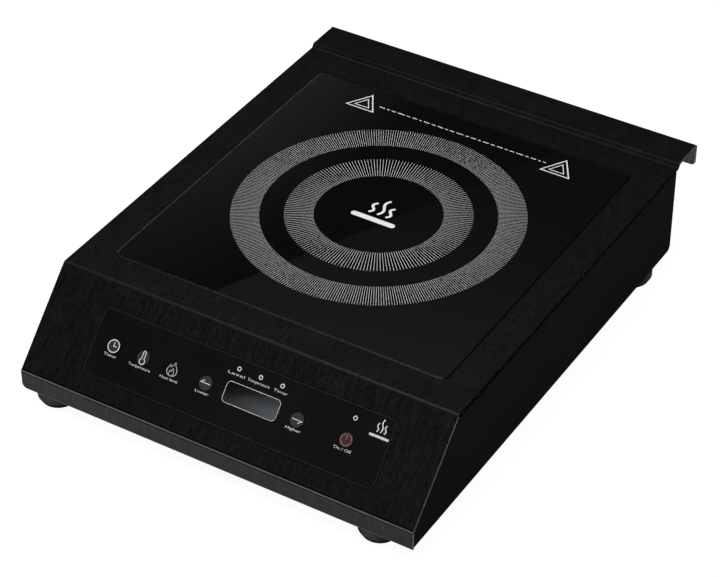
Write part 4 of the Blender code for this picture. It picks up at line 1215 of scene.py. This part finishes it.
def word(text, cx, cs, width, height, name):
    """Function word in the built-in typeface, centred on (cx, cs)."""
    cu = bpy.data.curves.new(name, 'FONT')
    cu.body = text
    cu.size = 1.0
    cu.resolution_u = 3
    cu.extrude = 0.5
    tmp = bpy.data.objects.new(name + "_tmp", cu)
    SCENE.collection.objects.link(tmp)
    dg = bpy.context.evaluated_depsgraph_get()
    dg.update()
    mesh = bpy.data.meshes.new_from_object(tmp.evaluated_get(dg))
    bpy.data.objects.remove(tmp, do_unlink=True)
    bpy.data.curves.remove(cu)
    xs = [v.co.x for v in mesh.vertices]
    ys = [v.co.y for v in mesh.vertices]
    sx = width / (max(xs) - min(xs))
    sy = height / 0.73
    mx = (max(xs) + min(xs)) / 2
    part = bmesh.new()
    part.from_mesh(mesh)
    bpy.data.meshes.remove(mesh)
    bmesh.ops.remove_doubles(part, verts=part.verts, dist=1e-5)
    for v in part.verts:
        h = 0.004 if v.co.z < 0 else 0.024
        v.co = PANEL @ Vector((cx + (v.co.x - mx) * sx, cs - height / 2 + v.co.y * sy, N_FACE + h))
    return part


def words(rows, name, mat):
    total = bmesh.new()
    for k, row in enumerate(rows):
        part = word(*row, "%s_%d" % (name, k))
        tmp = bpy.data.meshes.new("tmp")
        part.to_mesh(tmp)
        part.free()
        total.from_mesh(tmp)
        bpy.data.meshes.remove(tmp)
    obj = to_object(name, total, mat, 40)
    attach(obj, "housing")
    return obj


words([("Timer", -101.8, 35.0, 11.0, 2.1), ("Temperature", -76.1, 35.0, 19.0, 2.1),
       ("Heat level", -50.6, 35.0, 15.0, 2.1), ("Lower", -21.8, 35.0, 11.6, 2.1),
       ("Higher", 54.9, 35.0, 12.2, 2.1), ("On / Off", 95.4, 35.0, 14.0, 2.1),
       ("Level", -1.4, 56.0, 14.0, 2.1), ("Temperature", 17.3, 56.0, 18.6, 2.1),
       ("Timer", 35.7, 56.0, 11.4, 2.1)], "panel_words", INK_WHITE)

# small plain mark near the overlay's right end: the same three strokes and bar
g = Print(on_panel(N_FACE))
for cx, h0, h1 in ((114.6, 55.4, 61.0), (117.6, 55.4, 64.6), (120.6, 55.4, 61.0)):
    pts = []
    for k in range(13):
        t = k / 12
        pts.append((cx + 0.7 * math.sin(2 * math.pi * t), h0 + (h1 - h0) * t))
    g.stroke(smooth_line(pts, 2), 0.95)
g.plate(round_rect(109.6, 51.2, 125.6, 53.0, 0.9, 6))
g.done("panel_mark", INK_WHITE, "housing")


# key symbols, each on its own key cap
def key_print(node, name, mat, level, draw):
    x = KEYS[node]
    m = PANEL @ Matrix.Translation((x, KEY_S, KEY_TOP))
    p = Print(lambda q: m @ Vector(q), 0.004 + 0.022 * level, 0.024 + 0.022 * level)
    draw(p)
    p.done(name, mat, node)


def clock(p):
    p.ring(0, 0, 4.25, 5.0)
    p.stroke([(0.0, 2.8), (0.0, 0.0), (2.4, 0.0)], 0.65)


key_print("key_timer", "timer_disc", INK_DARK, 0, lambda p: p.disc(0, 0, 4.5))
key_print("key_timer", "timer_symbol", INK_WHITE, 1, clock)


def thermometer_outline(r_bulb, w, top, bottom):
    h = math.degrees(math.asin(min(1.0, w / r_bulb)))
    pts = arc(0, bottom, r_bulb, 90 + h, 450 - h, 28)
    return pts + arc(0, top, w, 0, 180, 12)


def thermometer(p):
    p.plate(thermometer_outline(2.55, 1.4, 4.0, -2.7), [thermometer_outline(1.85, 0.75, 4.0, -2.7)])


key_print("key_temperature", "temperature_disc", INK_DARK, 0, lambda p: p.disc(0, 0, 5.1))
key_print("key_temperature", "temperature_symbol", INK_WHITE, 1, thermometer)


def chain(p, points, w, closed=False):
    """Line drawn as short pieces with round joints, for tight curves."""
    pts = [Vector(q) for q in points]
    for i, q in enumerate(pts):
        p.disc(q.x, q.y, w / 2, 14)
        if i + 1 == len(pts) and not closed:
            break
        e = pts[(i + 1) % len(pts)]
        t = (e - q).normalized() * (w / 2)
        p.quad([(q.x + t.y, q.y - t.x), (e.x + t.y, e.y - t.x), (e.x - t.y, e.y + t.x), (q.x - t.y, q.y + t.x)])


def flame(p):
    """Outline of a plain flame with a smaller tongue inside it."""
    outer = [(1.0, 5.7), (1.7, 3.7), (3.1, 2.3), (4.3, 0.2), (4.4, -2.2), (3.1, -4.2), (0.3, -5.0), (-2.5, -4.4),
             (-4.2, -2.6), (-4.4, -0.4), (-3.5, 1.6), (-2.6, 3.4), (-1.9, 1.9), (-1.0, 2.5), (0.1, 4.1)]
    outer = [(0.92 * x, 0.92 * y) for x, y in outer]
    chain(p, smooth_line(outer, 4, closed=True), 0.62, closed=True)
    inner = [(-1.5, -4.5), (-2.2, -2.9), (-1.5, -1.0), (-0.6, -1.7), (0.5, 0.9), (1.7, -1.0), (2.1, -2.8), (1.4, -4.5)]
    chain(p, smooth_line([(0.92 * x, 0.92 * y) for x, y in inner], 4), 0.58)


key_print("key_level", "level_symbol", INK_WHITE, 0, flame)


def half_arrow(p, s):
    p.stroke([(3.7 * s, 0.0), (-4.0 * s, 0.0), (-1.4 * s, 2.0 * s)], 0.62)


key_print("key_less", "less_disc", INK_GREY, 0, lambda p: p.disc(0, 0, 5.3))
key_print("key_less", "less_symbol", INK_WHITE, 1, lambda p: half_arrow(p, 1))
key_print("key_more", "more_disc", INK_GREY, 0, lambda p: p.disc(0, 0, 5.3))
key_print("key_more", "more_symbol", INK_WHITE, 1, lambda p: half_arrow(p, -1))


def power(p):
    p.arc_band(0, 0, 3.75, 4.4, 118, 422)
    p.stroke([(0, 4.3), (0, 0.4)], 0.65)


key_print("key_power", "power_disc", INK_DARK, 0, lambda p: p.disc(0, 0, 5.3))
key_print("key_power", "power_symbol", INK_RED, 1, power)

# ---------------------------------------------------------------- camera
AZ, EL, DIST = math.radians(31.38), math.radians(37.78), 1.9729
TARGET = Vector((-0.0162, 0.0130, 0.012))
BACK = Vector((math.sin(AZ) * math.cos(EL), -math.cos(AZ) * math.cos(EL), math.sin(EL)))
cam_data = bpy.data.cameras.new("camera")
cam_data.lens, cam_data.sensor_width = 127.5, 36.0
cam_data.clip_start, cam_data.clip_end = 0.05, 50.0
cam = bpy.data.objects.new("camera", cam_data)
SCENE.collection.objects.link(cam)
cam.location = TARGET + BACK * DIST
cam.rotation_mode = 'QUATERNION'
cam.rotation_quaternion = (-BACK).to_track_quat('-Z', 'Y')
SCENE.camera = cam
SCENE.view_settings.view_transform = 'Standard'
SCENE.view_settings.look = 'None'


# ---------------------------------------------------------------- studio
def lin(srgb):
    v = srgb / 255.0
    return v / 12.92 if v <= 0.04045 else ((v + 0.055) / 1.055) ** 2.4


world = bpy.data.worlds.new("studio")
SCENE.world = world
world.use_nodes = True
wt = world.node_tree
wt.nodes.clear()
out = wt.nodes.new("ShaderNodeOutputWorld")
mix = wt.nodes.new("ShaderNodeMixShader")
path = wt.nodes.new("ShaderNodeLightPath")
dim = wt.nodes.new("ShaderNodeBackground")
dim.inputs["Color"].default_value = (1, 1, 1, 1)
dim.inputs["Strength"].default_value = 0.035
pale = wt.nodes.new("ShaderNodeBackground")
pale.inputs["Color"].default_value = (1, 1, 1, 1)
pale.inputs["Strength"].default_value = 1.0
wt.links.new(path.outputs["Is Camera Ray"], mix.inputs["Fac"])
wt.links.new(dim.outputs[0], mix.inputs[1])
wt.links.new(pale.outputs[0], mix.inputs[2])
wt.links.new(mix.outputs[0], out.inputs["Surface"])


def stage_mesh(name, verts, faces, mat, camera=True, diffuse=True, glossy=True, shadow=True):
    mesh = bpy.data.meshes.new(name)
    mesh.from_pydata(verts, [], faces)
    obj = bpy.data.objects.new(name, mesh)
    SCENE.collection.objects.link(obj)
    mesh.materials.append(mat)
    obj.visible_camera, obj.visible_diffuse = camera, diffuse
    obj.visible_glossy, obj.visible_shadow = glossy, shadow
    return obj


def floor_material():
    mat = bpy.data.materials.new("floor_paper")
    mat.use_nodes = True
    t = mat.node_tree
    t.nodes.clear()
    o = t.nodes.new("ShaderNodeOutputMaterial")
    m = t.nodes.new("ShaderNodeMixShader")
    lp = t.nodes.new("ShaderNodeLightPath")
    dark = t.nodes.new("ShaderNodeBsdfDiffuse")
    dark.inputs["Color"].default_value = (0.05, 0.05, 0.05, 1)
    add = t.nodes.new("ShaderNodeAddShader")
    lit = t.nodes.new("ShaderNodeBsdfDiffuse")
    lit.inputs["Color"].default_value = (0.10, 0.10, 0.10, 1)
    em = t.nodes.new("ShaderNodeEmission")
    em.inputs["Color"].default_value = (1, 1, 1, 1)
    em.inputs["Strength"].default_value = 0.955
    t.links.new(lp.outputs["Is Camera Ray"], m.inputs["Fac"])
    t.links.new(dark.outputs[0], m.inputs[1])
    t.links.new(lit.outputs[0], add.inputs[0])
    t.links.new(em.outputs[0], add.inputs[1])
    t.links.new(add.outputs[0], m.inputs[2])
    t.links.new(m.outputs[0], o.inputs["Surface"])
    return mat


stage_mesh("floor", [(-8, -8, 0), (8, -8, 0), (8, 8, 0), (-8, 8, 0)], [(0, 1, 2, 3)], floor_material())


def emitter(name, strength):
    mat = bpy.data.materials.new(name)
    mat.use_nodes = True
    t = mat.node_tree
    t.nodes.clear()
    o = t.nodes.new("ShaderNodeOutputMaterial")
    em = t.nodes.new("ShaderNodeEmission")
    em.inputs["Strength"].default_value = strength
    t.links.new(em.outputs[0], o.inputs["Surface"])
    return mat


# pale paper in front of the object, seen only in reflections
stage_mesh("floor_front", [(-0.9, -1.4, 0.002), (0.166, -1.4, 0.002), (0.166, -0.222, 0.002), (-0.5, -0.222, 0.002)],
           [(0, 1, 2, 3)], emitter("front_paper", 1.9), camera=False, diffuse=False, shadow=False)
# the same paper behind, to the left and further off to the right
side_paper = emitter("side_paper", 1.1)
stage_mesh("floor_back", [(-0.9, 0.235, 0.002), (0.12, 0.235, 0.002), (0.05, 2.0, 0.002), (-0.9, 2.0, 0.002)],
           [(0, 1, 2, 3)], side_paper, camera=False, diffuse=False, shadow=False)
stage_mesh("floor_left", [(-2.2, -1.4, 0.002), (-0.905, -1.4, 0.002), (-0.505, -0.21, 0.002), (-0.185, -0.20, 0.002),
                          (-0.185, 0.23, 0.002), (-0.905, 2.0, 0.002), (-2.2, 2.0, 0.002)],
           [(0, 1, 2, 3, 4, 5, 6)], side_paper, camera=False, diffuse=False, shadow=False)
stage_mesh("floor_right", [(0.75, -1.4, 0.002), (2.4, -1.4, 0.002), (2.4, 0.25, 0.002), (0.75, 0.05, 0.002)],
           [(0, 1, 2, 3)], emitter("right_paper", 0.7), camera=False, diffuse=False, shadow=False)

# Card whose reflection is seen in the glass. Each of its corners sits where the
# mirrored line of sight through a point of the glass meets the card's plane, so
# the shading on it can be laid out in the glass's own coordinates.
cam_pos = cam.location.copy()
mean_dir = Vector((-BACK.x, -BACK.y, BACK.z))
card_centre = Vector((0, GLASS_Y * MM, Z_TOP * MM)) + mean_dir * 1.6
verts, uv = [], []
N = 24
for j in range(N + 1):
    for i in range(N + 1):
        gx_ = -0.30 + 0.60 * i / N
        gy_ = -0.30 + 0.60 * j / N
        p = Vector((gx_, gy_ + GLASS_Y * MM, Z_TOP * MM))
        d_ = p - cam_pos
        d_.z = -d_.z
        t_ = (card_centre - p).dot(mean_dir) / d_.dot(mean_dir)
        verts.append(p + d_ * t_)
        uv.append((gx_ * 1000, gy_ * 1000 + GLASS_Y, 0.0))
faces = [(j * (N + 1) + i, j * (N + 1) + i + 1, (j + 1) * (N + 1) + i + 1, (j + 1) * (N + 1) + i)
         for j in range(N) for i in range(N)]


def card_material():
    mat = bpy.data.materials.new("reflection_card")
    mat.use_nodes = True
    t = mat.node_tree
    t.nodes.clear()
    h = Nodes.__new__(Nodes)
    h.mat, h.tree = mat, t
    o = h.node("ShaderNodeOutputMaterial")
    em = h.node("ShaderNodeEmission")
    at = h.node("ShaderNodeAttribute", attribute_name="on_glass")
    s = h.node("ShaderNodeSeparateXYZ")
    h.link(at.outputs["Vector"], s.inputs[0])
    x, y = s.outputs["X"], s.outputs["Y"]
    # left part: bright at the rear left corner, dark towards the centre
    side = h.remap(x, -50.0, -150.0, 0.0, 1.0)
    along = h.remap(y, -130.0, 60.0, 0.40, 1.0)
    left = h.math('ADD', h.math('MULTIPLY', h.math('MULTIPLY', side, along), CARD[1] - CARD[0]), CARD[0])
    # right part: bright at the front right corner
    u = h.remap(y, 157.0, -130.0, 0.0, 1.0)
    u2 = h.math('MULTIPLY', u, u)
    v = h.remap(x, -140.0, 140.0, 0.45, 1.0)
    right = h.math('ADD', h.math('MULTIPLY', h.math('MULTIPLY', u2, v), CARD[3] - CARD[2]), CARD[2])
    # edge between the two, a straight line over the glass
    ax, ay, bx, by = -51.8, -128.0, 26.7, 44.7
    nx, ny = (by - ay), -(bx - ax)
    ln = math.hypot(nx, ny)
    nx, ny = nx / ln, ny / ln
    dist = h.math('ADD', h.math('MULTIPLY', x, nx), h.math('MULTIPLY', y, ny))
    dist = h.math('SUBTRACT', dist, ax * nx + ay * ny)
    edge = h.remap(dist, -0.6, 0.6, 0.0, 1.0)
    total = h.math('ADD', h.math('MULTIPLY', right, edge),
                   h.math('MULTIPLY', left, h.math('SUBTRACT', 1.0, edge)))
    h.link(total, em.inputs["Strength"])
    h.link(em.outputs[0], o.inputs["Surface"])
    return mat


F_GLASS = 0.062
CARD = [(lin(10.0) - 0.0006) / F_GLASS, (lin(28.0) - 0.0006) / F_GLASS,
        (lin(12.5) - 0.0006) / F_GLASS, (lin(28.5) - 0.0006) / F_GLASS]
card = stage_mesh("reflection_card", verts, faces, card_material(), camera=False, diffuse=False, shadow=False)
attr = card.data.attributes.new("on_glass", 'FLOAT_VECTOR', 'POINT')
attr.data.foreach_set("vector", [c for row in uv for c in row])


def soft_light(name, aim, direction, distance, size, size_y, power, glossy=True, diffuse=True):
    data = bpy.data.lights.new(name, 'AREA')
    data.shape, data.size, data.size_y = 'RECTANGLE', size, size_y
    data.energy = power
    obj = bpy.data.objects.new(name, data)
    SCENE.collection.objects.link(obj)
    d = Vector(direction).normalized()
    obj.location = Vector(aim) + d * distance
    obj.rotation_mode = 'QUATERNION'
    obj.rotation_quaternion = d.to_track_quat('Z', 'Y')
    obj.visible_camera = False
    obj.visible_glossy = glossy
    obj.visible_diffuse = diffuse
    return obj


AIM = (0.0, 0.0, 0.05)
soft_light("top_soft", AIM, (-0.10, -0.10, 1.0), 1.6, 1.5, 0.9, 27.0)
soft_light("front_low", (0.0, -0.21, 0.03), (-0.42, -0.90, 0.14), 1.2, 1.2, 0.16, 2.2)
soft_light("right_edge", (0.167, 0.0, 0.06), (0.9, -0.27, 0.31), 1.4, 0.9, 0.25, 4.0, glossy=False)
soft_light("front_fill", (0.0, -0.19, 0.06), (-0.25, -0.80, 0.62), 1.6, 1.0, 0.5, 1.2)
soft_light("rear_edge", (0.0, 0.2, 0.08), (0.62, 0.68, 0.40), 1.5, 0.8, 0.4, 3.0, glossy=False)
soft_light("left_fill", (-0.16, 0.0, 0.06), (-0.9, 0.1, 0.35), 1.6, 1.0, 0.6, 8.0, glossy=False)
soft_light("back_fill", (0.0, 0.2, 0.05), (-0.30, 0.90, 0.30), 1.6, 1.0, 0.6, 8.0, glossy=False)
